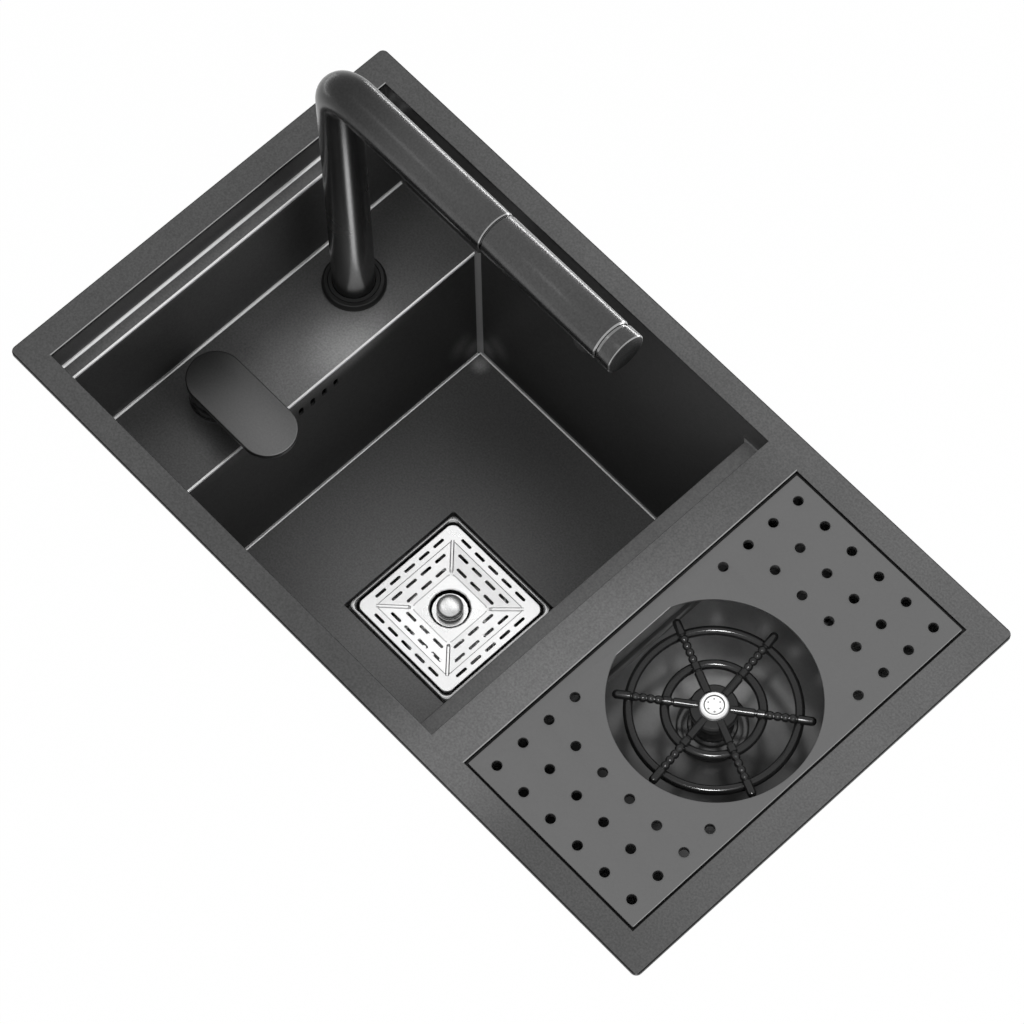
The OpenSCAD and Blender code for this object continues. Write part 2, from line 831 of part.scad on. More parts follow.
// Turning core of the mixer, with the pin that the lever tilts on
module mixer_rotor() color(brass_c) {
    slot = lever_stem_r + run_gap;
    translate([mixer_x, mixer_y, 0]) {
        difference() {
            rod(rotor_r, housing_top + run_gap, pivot_z + rotor_up);
            block([-core_r, -slot, pivot_z - rotor_slot], [core_r, slot, pivot_z + rotor_up + over]);
        }
        translate([0, slot, pivot_z]) rotate([90, 0, 0]) cylinder(r = pin_r, h = 2 * slot);
    }
}

// Stem of the lever, which turns on the core's pin
module lever_stem() color(polished_c) {
    translate([mixer_x, mixer_y, 0]) difference() {
        rod(lever_stem_r, pivot_z - stem_tail, hub_cap_z);
        translate([0, lever_stem_r + over, pivot_z]) rotate([90, 0, 0])
            cylinder(r = pin_r + pin_gap, h = 2 * (lever_stem_r + over));
    }
}

// Hub under the lever, hollowed to ride over the dome
module lever_hub() color(tap_c) {
    translate([mixer_x, mixer_y, 0]) difference() {
        rod(lever_hub_r, pivot_z + skirt_up, hub_cap_z);
        translate([0, 0, pivot_z]) sphere(r = dome_r + hub_gap);
        rod(lever_stem_r, pivot_z, hub_cap_z + over);
        translate([0, 0, pivot_z + plug_up]) rod_x(plug_r, -lever_hub_r - over, -lever_hub_r + plug_len);
    }
}

// Flat lever with round ends
module lever_plate() color(tap_c) {
    r = lever_w / 2;
    translate([mixer_x, mixer_y, hub_cap_z]) linear_extrude(lever_t) {
        circle(r = r);
        translate([lever_len, 0]) circle(r = r);
        translate([0, -r]) square([lever_len, lever_w]);
    }
}

// Plug over the lever's set screw
module lever_plug() color(rubber_c) {
    translate([mixer_x, mixer_y, pivot_z + plug_up]) rod_x(plug_r, -lever_hub_r + run_gap, -lever_hub_r + plug_len);
}

// Collar that slides up and down with the riser, which turns in it
module lift_collar() color(plastic_c) {
    translate([tap_x, tap_y, 0]) tube(sleeve_r, guide_r, collar_end, collar_top);
}

// Outer or inner form of the bent pipe: riser, bend and spout
module pipe_form(r, low, reach) {
    rod(r, low, spout_z - bend_r);
    translate([bend_r, 0, spout_z - bend_r]) rotate([90, 0, 0]) rotate([0, 0, 90])
        rotate_extrude(angle = 90) translate([bend_r, 0]) circle(r = r);
    translate([0, 0, spout_z]) rod_x(r, bend_r, reach);
}

// Riser and spout, bent from one tube, with the lip that the collar sits on
module spout_pipe() color(tap_c) {
    reach = spray_x0 - tap_x;
    translate([tap_x, tap_y, 0]) difference() {
        union() {
            pipe_form(tube_r, riser_end, reach);
            rod(lip_r, riser_end, riser_end + lip_h);
        }
        pipe_form(tube_in_r, riser_end - over, reach + over);
    }
}

// Liner in the spout's end that the spray head docks in
module spray_dock() color(plastic_c) {
    translate([0, tap_y, spout_z])
        tube_x(tube_in_r, tube_in_r - dock_wall, spray_x0 - dock_len, spray_x0);
}

// Shell of the pull-out spray head
module spray_shell() color(tap_c) {
    translate([0, tap_y, spout_z]) difference() {
        tube_x(tube_r, shell_in_r, spray_x0 + run_gap, shell_x1);
        translate([nozzle_x, 0, 0]) rod(nozzle_r, -tube_r - over, 0);
    }
}

// Stem of the spray head, hollow for the water
module spray_stem() color(plastic_c) {
    bore = stem_bore_r;
    translate([0, tap_y, spout_z]) {
        tube_x(stem_r, bore, spray_x0 - dock_len + run_gap, spray_x0 + run_gap);
        tube_x(shell_in_r, bore, spray_x0 + run_gap, spray_x0 + run_gap + stem_flange);
    }
}

// Nozzle under the spray head
module spray_nozzle() color(rubber_c) {
    translate([nozzle_x, tap_y, 0]) rod(nozzle_r, nozzle_end, spout_z - nozzle_sink);
}

// Selector ring at the end of the spray head
module spray_selector() color(tap_c) {
    translate([0, tap_y, spout_z]) {
        rod_x(shell_in_r - run_gap, shell_x1 - spigot_in, selector_x0);
        rod_x(tube_r, selector_x0, spray_x1);
    }
}

// Valve body of the rinser: barrel, flange and threaded shank
module rinser_body() color(polished_c) {
    step_z = (valve_foot + valve_flange_h + valve_top) / 2;
    translate([rinse_x, rinse_y, 0]) difference() {
        union() {
            rod(valve_flange_r, valve_foot, valve_foot + valve_flange_h);
            rod(valve_r, valve_foot, step_z);
            rod(valve_r - valve_step, valve_foot, valve_top);
            rod(shank_r, shank_end, valve_foot + over);
            rod(inlet_thread_r, thread_end, shank_end);
        }
        rod(bore_r, spring_z, valve_top + over);
        rod(inlet_r, thread_end - over, spring_z + over);
    }
}

// Gasket under the valve body's flange
module rinser_gasket() color(rubber_c) {
    translate([rinse_x, rinse_y, 0]) tube(valve_flange_r, shank_r, trough_z, valve_foot);
}

// Lock nut of the valve body
module rinser_lock_nut() color(brass_c) {
    top = trough_z - sheet_t;
    translate([rinse_x, rinse_y, 0]) hex_nut(shank_r, nut_w, top - nut_h, top);
}

// Return spring under the plunger, as the tube that its turns fill
module rinser_spring() color(polished_c) {
    translate([rinse_x, rinse_y, 0])
        tube(bore_r - run_gap, bore_r - run_gap - spring_wall, spring_z, piston_z);
}

// Plunger that opens the valve
module rinser_plunger() color(polished_c) {
    translate([rinse_x, rinse_y, 0]) {
        rod(plunger_r, piston_z + seal_h, hub_z);
        rod(plunger_r - seal_w, piston_z, piston_z + seal_h);
    }
}

// Seal round the foot of the plunger
module rinser_seal() color(rubber_c) {
    translate([rinse_x, rinse_y, 0]) tube(plunger_r, plunger_r - seal_w, piston_z, piston_z + seal_h);
}

// Hub and arms that the glass presses down
module rinser_arms() color(plastic_c) {
    translate([rinse_x, rinse_y, 0]) {
        rod(hub_r, hub_z, hub_top);
        for (i = [0 : arm_n - 1])
            rotate([0, 0, arm_phase + i * 360 / arm_n]) translate([0, 0, arm_z])
                rod_x(arm_r, cap_r + arm_inset, star_r);
    }
}

// Two wire rings under the arms
module rinser_rings() color(plastic_c) {
    for (r = [inner_ring_r, outer_ring_r])
        translate([rinse_x, rinse_y, ring_z]) rotate_extrude() translate([r, 0]) circle(r = ring_wire_r);
}

// Cap with the jets, in the middle of the hub
module rinser_cap() color(polished_c) {
    translate([rinse_x, rinse_y, 0]) rod(cap_r, hub_top, cap_z);
}

// One group of drip holes: short columns in the middle and long ones at the ends
module drip_group() {
    for (i = [0 : drip_columns - 1], j = [0 : drip_rows - 1])
        if (j < drip_rows - 1 || i == 0 || i == drip_columns - 1)
            translate([(i - (drip_columns - 1) / 2) * drip_pitch_x, drip_row_y - j * drip_pitch_y])
                circle(r = drip_r);
}

// Drip tray with the rinser's hole and the drip holes
module drip_tray() color(tray_c) {
    mid_x = (tray_x0 + tray_x1) / 2;
    linear_extrude(tray_t) difference() {
        translate([tray_x0 + tray_gap, tray_y0 + tray_gap])
            square([tray_len - 2 * tray_gap, tray_y1 - tray_y0 - 2 * tray_gap]);
        intersection() {
            translate([rinse_x, rinse_y]) circle(r = rinse_hole_r, $fn = 96);
            translate([rinse_x - rinse_flat, rinse_y - rinse_hole_r - over])
                square([rinse_flat + rinse_hole_r + over, 2 * (rinse_hole_r + over)]);
        }
        translate([mid_x, 0]) drip_group();
        translate([mid_x, 0]) mirror([0, 1]) drip_group();
    }
}

// One side's rows of slots in the drain cover
module cover_slots() {
    for (row = [0 : len(slot_row_share) - 1], i = [0 : slot_count[row] - 1])
        translate([
            (i - (slot_count[row] - 1) / 2) * slot_pitch_share * cover_side,
            slot_row_share[row] * cover_side
        ]) square([slot_len_share * cover_side, slot_w], center = true);
}

// Square drain cover, with its skirt and the dish for the knob
module drain_cover() color(polished_c) {
    half = cover_side / 2;
    under = floor_z - cover_t;
    dish_z = under - dish_depth;
    translate([drain_x, drain_y, 0]) {
        translate([0, 0, under]) linear_extrude(cover_t) difference() {
            square(cover_side, center = true);
            circle(r = dish_r);
            for (a = [0 : 90 : 270]) rotate(a) cover_slots();
        }
        translate([0, 0, pan_z + flange_gap]) linear_extrude(under - pan_z - flange_gap) difference() {
            square(cover_side, center = true);
            square(cover_side - 2 * cover_wall, center = true);
        }
        tube(dish_r + dish_t, dish_r, dish_z, under);
        tube(dish_r + dish_t, knob_stem_r + run_gap, dish_z - dish_t, dish_z);
    }
}

// Domed knob in the cover's dish, with the stem down to the basket
module drain_knob() color(polished_c) {
    seat = floor_z - cover_t - dish_depth + knob_gap;
    ball_r = (knob_r * knob_r + knob_h * knob_h) / (2 * knob_h);
    translate([drain_x, drain_y, 0]) {
        intersection() {
            translate([0, 0, seat + knob_h - ball_r]) sphere(r = ball_r);
            rod(knob_r, seat, seat + knob_h + over);
        }
        rod(knob_stem_r, basket_z - basket_h + basket_t, seat);
    }
}

// Strainer basket at the foot of the knob's stem
module strainer_basket() color(polished_c) {
    low = basket_z - basket_h;
    translate([drain_x, drain_y, 0]) {
        tube(basket_r, basket_r - basket_t, low + basket_t, basket_z);
        difference() {
            rod(basket_r, low, low + basket_t);
            for (s = basket_ring_share, i = [0 : basket_hole_n - 1])
                rotate([0, 0, i * 360 / basket_hole_n]) translate([s * basket_r, 0, 0])
                    rod(basket_hole_r, low - over, low + basket_t + over);
        }
    }
}

rim_plate();
front_wall();
back_wall();
tap_upper_wall();
tap_ledge();
tap_lower_wall();
tap_platform();
bowl_tap_wall();
far_upper_wall();
far_ledge();
far_lower_wall();
bowl_floor();
drain_pan();
tray_shelf();
trough_walls();
trough_floor();
sound_pads();
clip_brackets();
clip_screws();
overflow_housing();
drain_body();
drain_base();
drain_tail();
drain_gasket();
drain_lock_nut();
trough_outlet();
trough_outlet_nut();
tap_escutcheon();
tap_seal();
tap_sleeve();
tap_lock_nut();
mixer_base();
mixer_body();
mixer_lock_nut();
platform_washers();
rinser_body();
rinser_gasket();
rinser_lock_nut();
rinser_spring();
lift_collar();
spout_pipe();
spray_dock();
spray_shell();
spray_stem();
spray_nozzle();
spray_selector();
mixer_rotor();
lever_stem();
lever_hub();
lever_plate();
lever_plug();
rinser_plunger();
rinser_seal();
rinser_arms();
rinser_rings();
rinser_cap();
drip_tray();
drain_cover();
drain_knob();
strainer_basket();
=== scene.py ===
"""Looks of a kitchen sink with a lift-down pull-out tap, a lever mixer and a glass rinser under a drip tray.

Sizes are in millimetres in the part's own frame: +X from the tap end to the rinser end, +Y from the front to
the back, +Z up, and z = 0 where the rim lies on the worktop. Shape turns them into metres.
"""

import json
import logging
import math
from dataclasses import dataclass
from enum import Enum
from typing import Callable, Sequence

import bmesh
import bpy
from mathutils import Matrix, Vector
from mathutils.geometry import delaunay_2d_cdt

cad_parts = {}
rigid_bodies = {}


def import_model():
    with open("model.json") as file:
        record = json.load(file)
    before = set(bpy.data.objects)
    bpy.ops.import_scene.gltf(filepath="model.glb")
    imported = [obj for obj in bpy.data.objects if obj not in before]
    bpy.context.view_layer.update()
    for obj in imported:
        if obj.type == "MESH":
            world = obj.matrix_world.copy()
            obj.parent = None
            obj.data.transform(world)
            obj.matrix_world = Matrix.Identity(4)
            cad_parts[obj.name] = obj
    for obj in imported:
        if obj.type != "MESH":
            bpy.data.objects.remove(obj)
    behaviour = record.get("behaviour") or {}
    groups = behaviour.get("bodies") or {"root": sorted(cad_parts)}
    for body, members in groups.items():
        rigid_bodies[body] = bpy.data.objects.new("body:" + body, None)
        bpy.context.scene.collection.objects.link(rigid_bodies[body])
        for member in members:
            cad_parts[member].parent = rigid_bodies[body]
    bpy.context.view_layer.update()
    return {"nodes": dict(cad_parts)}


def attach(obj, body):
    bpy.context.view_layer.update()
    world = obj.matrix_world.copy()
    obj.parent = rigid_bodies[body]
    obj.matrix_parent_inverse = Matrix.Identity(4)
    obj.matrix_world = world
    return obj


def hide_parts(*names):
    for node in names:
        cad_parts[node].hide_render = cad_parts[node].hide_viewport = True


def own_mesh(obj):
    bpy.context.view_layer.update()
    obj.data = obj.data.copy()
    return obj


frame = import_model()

MM = 0.001
LOG = logging.getLogger("kitchen_sink")

Point = tuple[float, float, float]
Flat = tuple[float, float]
Profile = Sequence[Flat]
Loop = Sequence[Sequence[float]]
Socket = bpy.types.NodeSocket


class Axis(Enum):
    """Axis that a turned piece is turned about."""

    X = "x"
    Z = "z"


def wired(
    tree: bpy.types.NodeTree, kind: str, inputs: dict | None = None, **settings: object
) -> bpy.types.Node:
    """Adds a node to a tree.

    Args:
        tree: the node tree.
        kind: type of the node.
        inputs: a socket or a value for each input, by its name or number.
        settings: properties of the node.

    Returns:
        The node.
    """
    node = tree.nodes.new(kind)
    for key, value in settings.items():
        setattr(node, key, value)
    for key, value in (inputs or {}).items():
        if isinstance(value, Socket):
            tree.links.new(value, node.inputs[key])
        else:
            node.inputs[key].default_value = value
    return node


def maths(
    tree: bpy.types.NodeTree, operation: str, first: object, second: object, **settings: object
) -> Socket:
    """Adds a Math node on two sockets or numbers and returns its result socket."""
    return wired(tree, "ShaderNodeMath", {0: first, 1: second}, operation=operation, **settings).outputs[0]


@dataclass(frozen=True)
class PaintedPatch:
    """A soft round area of a surface painted lighter by a positive gain and darker by a negative one: painted
    light and painted shade.
    """

    centre: Point
    reach: Point
    gain: float


@dataclass(frozen=True)
class Finish:
    """A finish of one of the sink's materials.

    A face attribute mixes in the brighter tone of a painted highlight, up to 1, or the black of painted
    shade, down to -1. Painted patches add soft areas of painted light and painted shade.
    """

    name: str
    slot: str
    tone: Point
    metallic: float = 1.0
    roughness: float = 0.4
    roughness_spread: float = 0.08
    mottle: float = 0.1
    mottle_mm: float = 1.3
    cloud: float = 0.06
    cloud_mm: float = 60.0
    bump_mm: float = 0.008
    bump_size_mm: float = 0.45
    painted_highlight_tone: Point = (0.42, 0.42, 0.42)
    painted_highlight_roughness: float = 0.22
    painted_shade_tone: Point = (0.003, 0.003, 0.003)
    specular: float = 0.5
    painted_patches: tuple[PaintedPatch, ...] = ()

    def material(self) -> bpy.types.Material:
        """Builds the node material, once.

        Returns:
            The material with this finish's name.
        """
        known = bpy.data.materials.get(self.name)
        if known is not None:
            return known
        material = bpy.data.materials.new(self.name)
        material.use_nodes = True
        tree = material.node_tree
        tree.nodes.clear()
        place = wired(tree, "ShaderNodeTexCoord").outputs["Object"]
        speckle = self._noise(tree, place, self.mottle_mm, 2.0)
        clouds = self._noise(tree, place, self.cloud_mm, 3.0)
        fine = self._noise(tree, place, self.bump_size_mm, 2.0)
        level = maths(tree, "MULTIPLY", self._around(tree, speckle, 1.0, self.mottle),
                      self._around(tree, clouds, 1.0, self.cloud))
        # Painted patches multiply painted light and painted shade into the tone.
        for painted_patch in self.painted_patches:
            level = maths(tree, "MULTIPLY", level, self._painted_patch_factor(tree, place, painted_patch))
        # The face attribute holds painted highlights above 0 and painted shade below 0.
        painted_light_shade = wired(tree, "ShaderNodeAttribute", attribute_name="painted_light_shade").outputs["Fac"]
        shine = maths(tree, "MAXIMUM", painted_light_shade, 0.0)
        painted_shade = maths(tree, "MAXIMUM", maths(tree, "MULTIPLY", painted_light_shade, -1.0), 0.0)
        body = self._mix(tree, 1.0, (*self.tone, 1.0), level, blend_type="MULTIPLY")
        highlighted = self._mix(tree, shine, body, (*self.painted_highlight_tone, 1.0))
        satin = self._around(tree, clouds, self.roughness, self.roughness_spread)
        highlight_gloss = wired(tree, "ShaderNodeMix", {0: shine, 2: satin, 3: self.painted_highlight_roughness}, data_type="FLOAT")
        bump = wired(tree, "ShaderNodeBump", {"Strength": 1.0, "Distance": self.bump_mm * MM, "Height": fine})
        shader = wired(tree, "ShaderNodeBsdfPrincipled", {
            "Base Color": self._mix(tree, painted_shade, highlighted, (*self.painted_shade_tone, 1.0)),
            "Metallic": self.metallic,
            "Roughness": highlight_gloss.outputs[0],
            "Specular IOR Level": maths(tree, "MULTIPLY", maths(tree, "SUBTRACT", 1.0, painted_shade), self.specular),
            "Normal": bump.outputs["Normal"],
        })
        wired(tree, "ShaderNodeOutputMaterial", {"Surface": shader.outputs["BSDF"]})
        return material

    @staticmethod
    def _mix(
        tree: bpy.types.NodeTree, share: object, first: object, second: object, **settings: object
    ) -> Socket:
        """Adds a Mix node for two colours and returns its result socket."""
        inputs = {0: share, 6: first, 7: second}
        return wired(tree, "ShaderNodeMix", inputs, data_type="RGBA", **settings).outputs[2]

    @staticmethod
    def _painted_patch_factor(tree: bpy.types.NodeTree, place: Socket, painted_patch: PaintedPatch) -> Socket:
        """Adds the factor of a painted patch, above 1 for painted light and below 1 for painted shade, 1
        outside it, and returns its socket.
        """
        away = place
        for operation, by in (("SUBTRACT", painted_patch.centre), ("DIVIDE", painted_patch.reach)):
            away = wired(tree, "ShaderNodeVectorMath", {0: away, 1: [c * MM for c in by]},
                         operation=operation).outputs[0]
        length = wired(tree, "ShaderNodeVectorMath", {0: away}, operation="LENGTH").outputs["Value"]
        return wired(tree, "ShaderNodeMapRange", {
            "Value": length, "From Min": 0.0, "From Max": 1.0, "To Min": 1.0 + painted_patch.gain, "To Max": 1.0,
        }, interpolation_type="SMOOTHSTEP").outputs["Result"]

    @staticmethod
    def _noise(tree: bpy.types.NodeTree, place: Socket, size_mm: float, detail: float) -> Socket:
        """Adds a noise pattern of a given feature size and returns its value socket."""
        return wired(tree, "ShaderNodeTexNoise", {
            "Vector": place, "Scale": 1.0 / (size_mm * MM), "Detail": detail}).outputs["Fac"]

    @staticmethod
    def _around(tree: bpy.types.NodeTree, noise: Socket, middle: float, share: float) -> Socket:
        """Spreads a noise value over a share to each side of a middle value and returns its socket."""
        return wired(tree, "ShaderNodeMapRange", {
            "Value": noise, "From Min": 0.3, "From Max": 0.7, "To Min": middle * (1.0 - share),
            "To Max": middle * (1.0 + share)}).outputs["Result"]


def grey(value: float) -> Point:
    """A neutral colour of one linear value."""
    return (value, value, value)


# The rim's patches are painted light: lighter areas of its top.
RIM_STEEL = Finish(
    "coated_steel_rim", "dark_steel", grey(0.112), roughness=0.38, mottle=0.16, painted_patches=(
        PaintedPatch((104.0, -95.0, 3.0), (75.0, 260.0, 30.0), 0.8),
        PaintedPatch((290.0, 60.0, 3.0), (280.0, 330.0, 60.0), 0.65),
        PaintedPatch((0.0, 150.0, 3.0), (340.0, 40.0, 20.0), 0.35),
    )
)
# The bowl's patches are painted light on the ledges, the platform and the floor, painted shade on the back of
# the floor, and painted fans of light in the back corner; its white painted highlight tone is for the folds.
BOWL_STEEL = Finish(
    "coated_steel_bowl", "dark_steel", grey(0.085), metallic=0.6, roughness=0.38, mottle=0.16,
    painted_highlight_tone=grey(1.0), painted_highlight_roughness=0.3, painted_patches=(
        PaintedPatch((-250.0, 0.0, -21.5), (16.0, 400.0, 8.0), 0.9),
        PaintedPatch((78.0, 0.0, -21.5), (20.0, 400.0, 10.0), 0.9),
        PaintedPatch((-182.0, -5.0, -109.0), (75.0, 130.0, 20.0), 1.5),
        PaintedPatch((-180.0, 36.0, -109.0), (34.0, 44.0, 20.0), 1.3),
        PaintedPatch((-62.0, -25.0, -252.0), (150.0, 150.0, 60.0), 2.0),
        PaintedPatch((-100.0, 125.0, -252.0), (120.0, 70.0, 40.0), -0.4),
        PaintedPatch((-166.0, 131.0, -252.0), (9.0, 9.0, 6.0), 2.5),
        PaintedPatch((-173.5, 131.0, -239.0), (5.0, 10.0, 15.0), 1.8),
        PaintedPatch((-173.5, 120.0, -222.0), (5.0, 13.0, 20.0), 1.3),
        PaintedPatch((-166.0, 138.5, -239.0), (10.0, 5.0, 15.0), 1.8),
        PaintedPatch((-155.0, 138.5, -222.0), (13.0, 5.0, 20.0), 1.3),
    )
)
# The trough's patches are painted light in its middle and painted shade at several places towards its front
# and back.
TROUGH_STEEL = Finish(
    "coated_steel_trough", "dark_steel", grey(0.15), metallic=0.5, roughness=0.22, mottle=0.04, cloud_mm=25.0,
    cloud=0.2, painted_patches=(
        PaintedPatch((150.0, 45.0, -43.0), (110.0, 110.0, 70.0), 1.3),
        PaintedPatch((225.0, -20.0, -43.0), (75.0, 75.0, 40.0), -0.75),
        PaintedPatch((175.0, -92.0, -20.0), (130.0, 62.0, 70.0), -0.92),
        PaintedPatch((165.0, -78.0, -40.0), (75.0, 50.0, 60.0), -0.93),
        PaintedPatch((128.0, 98.0, -40.0), (60.0, 45.0, 60.0), -0.9),
        PaintedPatch((183.0, 112.0, -15.0), (110.0, 45.0, 60.0), -0.85),
    )
)
TRAY_STEEL = Finish(
    "satin_tray_steel", "tray_steel", grey(0.214), roughness=0.5, mottle=0.015, cloud=0.015, bump_mm=0.003
)
# The tap's patch is painted shade on the bend.
TAP_STEEL = Finish(
    "coated_tap_steel", "tap_steel", grey(0.095), metallic=0.95, roughness=0.26, mottle=0.14, bump_mm=0.003,
    painted_patches=(PaintedPatch((-205.0, 62.0, 150.0), (75.0, 60.0, 60.0), -0.6),)
)
# The lever's patch is painted light, lighter towards its far round end.
LEVER_STEEL = Finish(
    "coated_lever_steel", "tap_steel", grey(0.07), metallic=0.9, roughness=0.36, mottle=0.06, bump_mm=0.004,
    painted_patches=(PaintedPatch((-145.0, -48.0, -82.0), (95.0, 75.0, 60.0), 1.6),)
)
VALVE_STEEL = Finish(
    "dark_valve_steel", "tap_steel", grey(0.12), metallic=0.8, roughness=0.2, mottle=0.05, bump_mm=0.002
)
DARK_RING = Finish(
    "black_tap_ring", "tap_steel", grey(0.03), metallic=0.7, roughness=0.35, mottle=0.05, bump_mm=0.003
)
POLISHED = Finish(
    "polished_steel", "polished_steel", grey(0.88), roughness=0.16, mottle=0.02, cloud=0.02, bump_mm=0.001
)
COVER_STEEL = Finish(
    "bright_cover_steel", "polished_steel", grey(0.97), metallic=0.75, roughness=0.28, mottle=0.02,
    cloud=0.02, bump_mm=0.001
)
ZINC = Finish(
    "zinc_plated_steel", "polished_steel", (0.56, 0.57, 0.55), roughness=0.36, mottle=0.06, cloud_mm=8.0,
    cloud=0.1
)
BRASS = Finish(
    "turned_brass", "brass", (0.62, 0.45, 0.19), roughness=0.3, mottle=0.05, cloud_mm=10.0, cloud=0.1,
    bump_mm=0.003
)
RUBBER = Finish(
    "black_rubber", "rubber", grey(0.018), metallic=0.0, roughness=0.62, mottle=0.12, cloud=0.1, bump_mm=0.02,
    specular=0.35,
)
PAD_RUBBER = Finish(
    "sound_pad_rubber", "rubber", grey(0.03), metallic=0.0, roughness=0.78, mottle=0.2, mottle_mm=2.0,
    cloud=0.15, bump_mm=0.08, bump_size_mm=1.6, specular=0.25,
)
PLASTIC = Finish(
    "black_moulded_plastic", "dark_plastic", grey(0.022), metallic=0.0, roughness=0.42, mottle=0.08,
    bump_mm=0.012, bump_size_mm=0.7,
)
GLOSS_WIRE = Finish(
    "black_glossy_wire", "dark_plastic", grey(0.012), metallic=0.0, roughness=0.16, mottle=0.05, cloud=0.05,
    bump_mm=0.003, specular=0.42,
)


class Shape:
    """A mesh in the making, with its sizes in millimetres."""

    def __init__(self) -> None:
        """Starts an empty mesh."""
        self.bm = bmesh.new()

    def ring(self, points: Loop) -> list[bmesh.types.BMVert]:
        """Adds one vertex for each point."""
        return [self.bm.verts.new(point) for point in points]

    def bridge(self, first: list[bmesh.types.BMVert], second: list[bmesh.types.BMVert]) -> None:
        """Joins two closed rings with faces.

        Args:
            first: a ring, or a single vertex for a pole.
            second: a ring with as many vertices as the first, or a single vertex.
        """
        count = max(len(first), len(second))
        for i in range(count):
            j = (i + 1) % count
            corners = (first[i % len(first)], first[j % len(first)], second[j % len(second)],
                       second[i % len(second)])
            self.bm.faces.new(list(dict.fromkeys(corners)))

    def skin(self, loops: Sequence[Loop]) -> list[list[bmesh.types.BMVert]]:
        """Joins a row of loops into a skin with open ends.

        Args:
            loops: the loops, each a list of points.

        Returns:
            The rings of vertices.
        """
        rings = [self.ring(loop) for loop in loops]
        for first, second in zip(rings, rings[1:]):
            self.bridge(first, second)
        return rings

    def loft(self, loops: Sequence[Loop], closed: bool = False) -> None:
        """Joins a row of loops into a solid.

        Args:
            loops: the loops, each a list of points.
            closed: joins the last loop with the first; otherwise open ends are capped.
        """
        rings = self.skin(loops)
        if closed:
            self.bridge(rings[-1], rings[0])
        else:
            for end in (rings[0], rings[-1]):
                if len(end) > 2:
                    self.bm.faces.new(end)

    def lathe(
        self, profile: Profile, centre: Point = (0, 0, 0), axis: Axis = Axis.Z, steps: int = 72,
        closed: bool = False,
    ) -> None:
        """Turns a profile about an axis.

        Args:
            profile: points of radius and height along the axis.
            centre: a point that the axis goes through.
            axis: the axis.
            steps: number of points round a ring.
            closed: joins the last point with the first, for a ring with a bore.
        """
        loops = []
        for radius, height in profile:
            loop = []
            for i in range(1 if radius < 1e-6 else steps):
                turn = 2 * math.pi * i / steps
                a, b = radius * math.cos(turn), radius * math.sin(turn)
                local = (height, a, b) if axis is Axis.X else (a, b, height)
                loop.append(tuple(p + c for p, c in zip(local, centre)))
            loops.append(loop)
        self.loft(loops, closed)

    def box(self, low: Point, high: Point) -> None:
        """Adds a box between two corners."""
        (x0, y0, z0), (x1, y1, z1) = low, high
        self.loft([[(x0, y0, z), (x1, y0, z), (x1, y1, z), (x0, y1, z)] for z in (z0, z1)])

    def mesh(self, unit: float = MM) -> bpy.types.Mesh:
        """Turns the shape into a mesh, with its faces outwards.

        Args:
            unit: length of a millimetre in the mesh, which is in metres unless this is 1.

        Returns:
            The mesh.
        """
        bmesh.ops.remove_doubles(self.bm, verts=self.bm.verts, dist=1e-4)
        bmesh.ops.recalc_face_normals(self.bm, faces=self.bm.faces)
        mesh = settled(self.bm)
        mesh.transform(Matrix.Scale(unit, 4))
        return mesh


def settled(bm: bmesh.types.BMesh) -> bpy.types.Mesh:
    """Turns a mesh in the making into a plain one."""
    mesh = bpy.data.meshes.new("piece")
    bm.to_mesh(mesh)
    bm.free()
    return mesh


def circle(x: float, y: float, radius: float, z: float, steps: int = 32) -> list[Point]:
    """Points of a level circle."""
    turns = [2 * math.pi * i / steps for i in range(steps)]
    return [(x + radius * math.cos(t), y + radius * math.sin(t), z) for t in turns]


def rounded(
    x0: float, y0: float, x1: float, y1: float, radius: float, z: float, steps: int = 5, sides: int = 1
) -> list[Point]:
    """Points of a level rectangle with round corners.

    Args:
        x0: lowest x.
        y0: lowest y.
        x1: highest x.
        y1: highest y.
        radius: radius of the corners.
        z: height.
        steps: number of points of a corner.
        sides: number of parts of each straight side.

    Returns:
        The points, anticlockwise from the corner at x1, y0.
    """
    points: list[Point] = []
    for x, y, start in ((x1 - radius, y0 + radius, -90), (x1 - radius, y1 - radius, 0),
                        (x0 + radius, y1 - radius, 90), (x0 + radius, y0 + radius, 180)):
        for i in range(steps):
            turn = math.radians(start + 90 * i / (steps - 1))
            points.append((x + radius * math.cos(turn), y + radius * math.sin(turn), z))
    full: list[Point] = []
    for i, point in enumerate(points):
        full.append(point)
        if (i + 1) % steps == 0:
            following = points[(i + 1) % len(points)]
            for k in range(1, sides):
                full.append(tuple(p + (q - p) * (k / sides) for p, q in zip(point, following)))
    return full


def hexagon(x: float, y: float, corner_r: float, limit: float, z: float, steps: int = 72) -> list[Point]:
    """Points of a hexagon whose corners are cut at a radius, for a chamfered nut.

    Args:
        x: centre.
        y: centre.
        corner_r: radius of the corners.
        limit: radius that cuts them.
        z: height.
        steps: number of points.

    Returns:
        The points.
    """
    apothem = corner_r * math.cos(math.pi / 6)
    points = []
    for i in range(steps):
        turn = 2 * math.pi * i / steps
        radius = min(apothem / math.cos((turn % (math.pi / 3)) - math.pi / 6), limit)
        points.append((x + radius * math.cos(turn), y + radius * math.sin(turn), z))
    return points


def thread(radius: float, start: float, end: float, pitch: float = 1.8, depth: float = 0.55) -> list[Flat]:
    """Profile of a screw thread between two heights.

    Args:
        radius: outer radius of the thread.
        start: first height.
        end: last height.
        pitch: distance between ridges.
        depth: depth of the thread.

    Returns:
        Points of radius and height, from start to end.
    """
    ridges = max(2, round(abs(end - start) / pitch))
    step = (end - start) / ridges
    points: list[Flat] = [(radius - depth, start)]
    for i in range(ridges):
        points.append((radius, start + (i + 0.38) * step))
        points.append((radius, start + (i + 0.62) * step))
        points.append((radius - depth, start + (i + 1) * step))
    return points


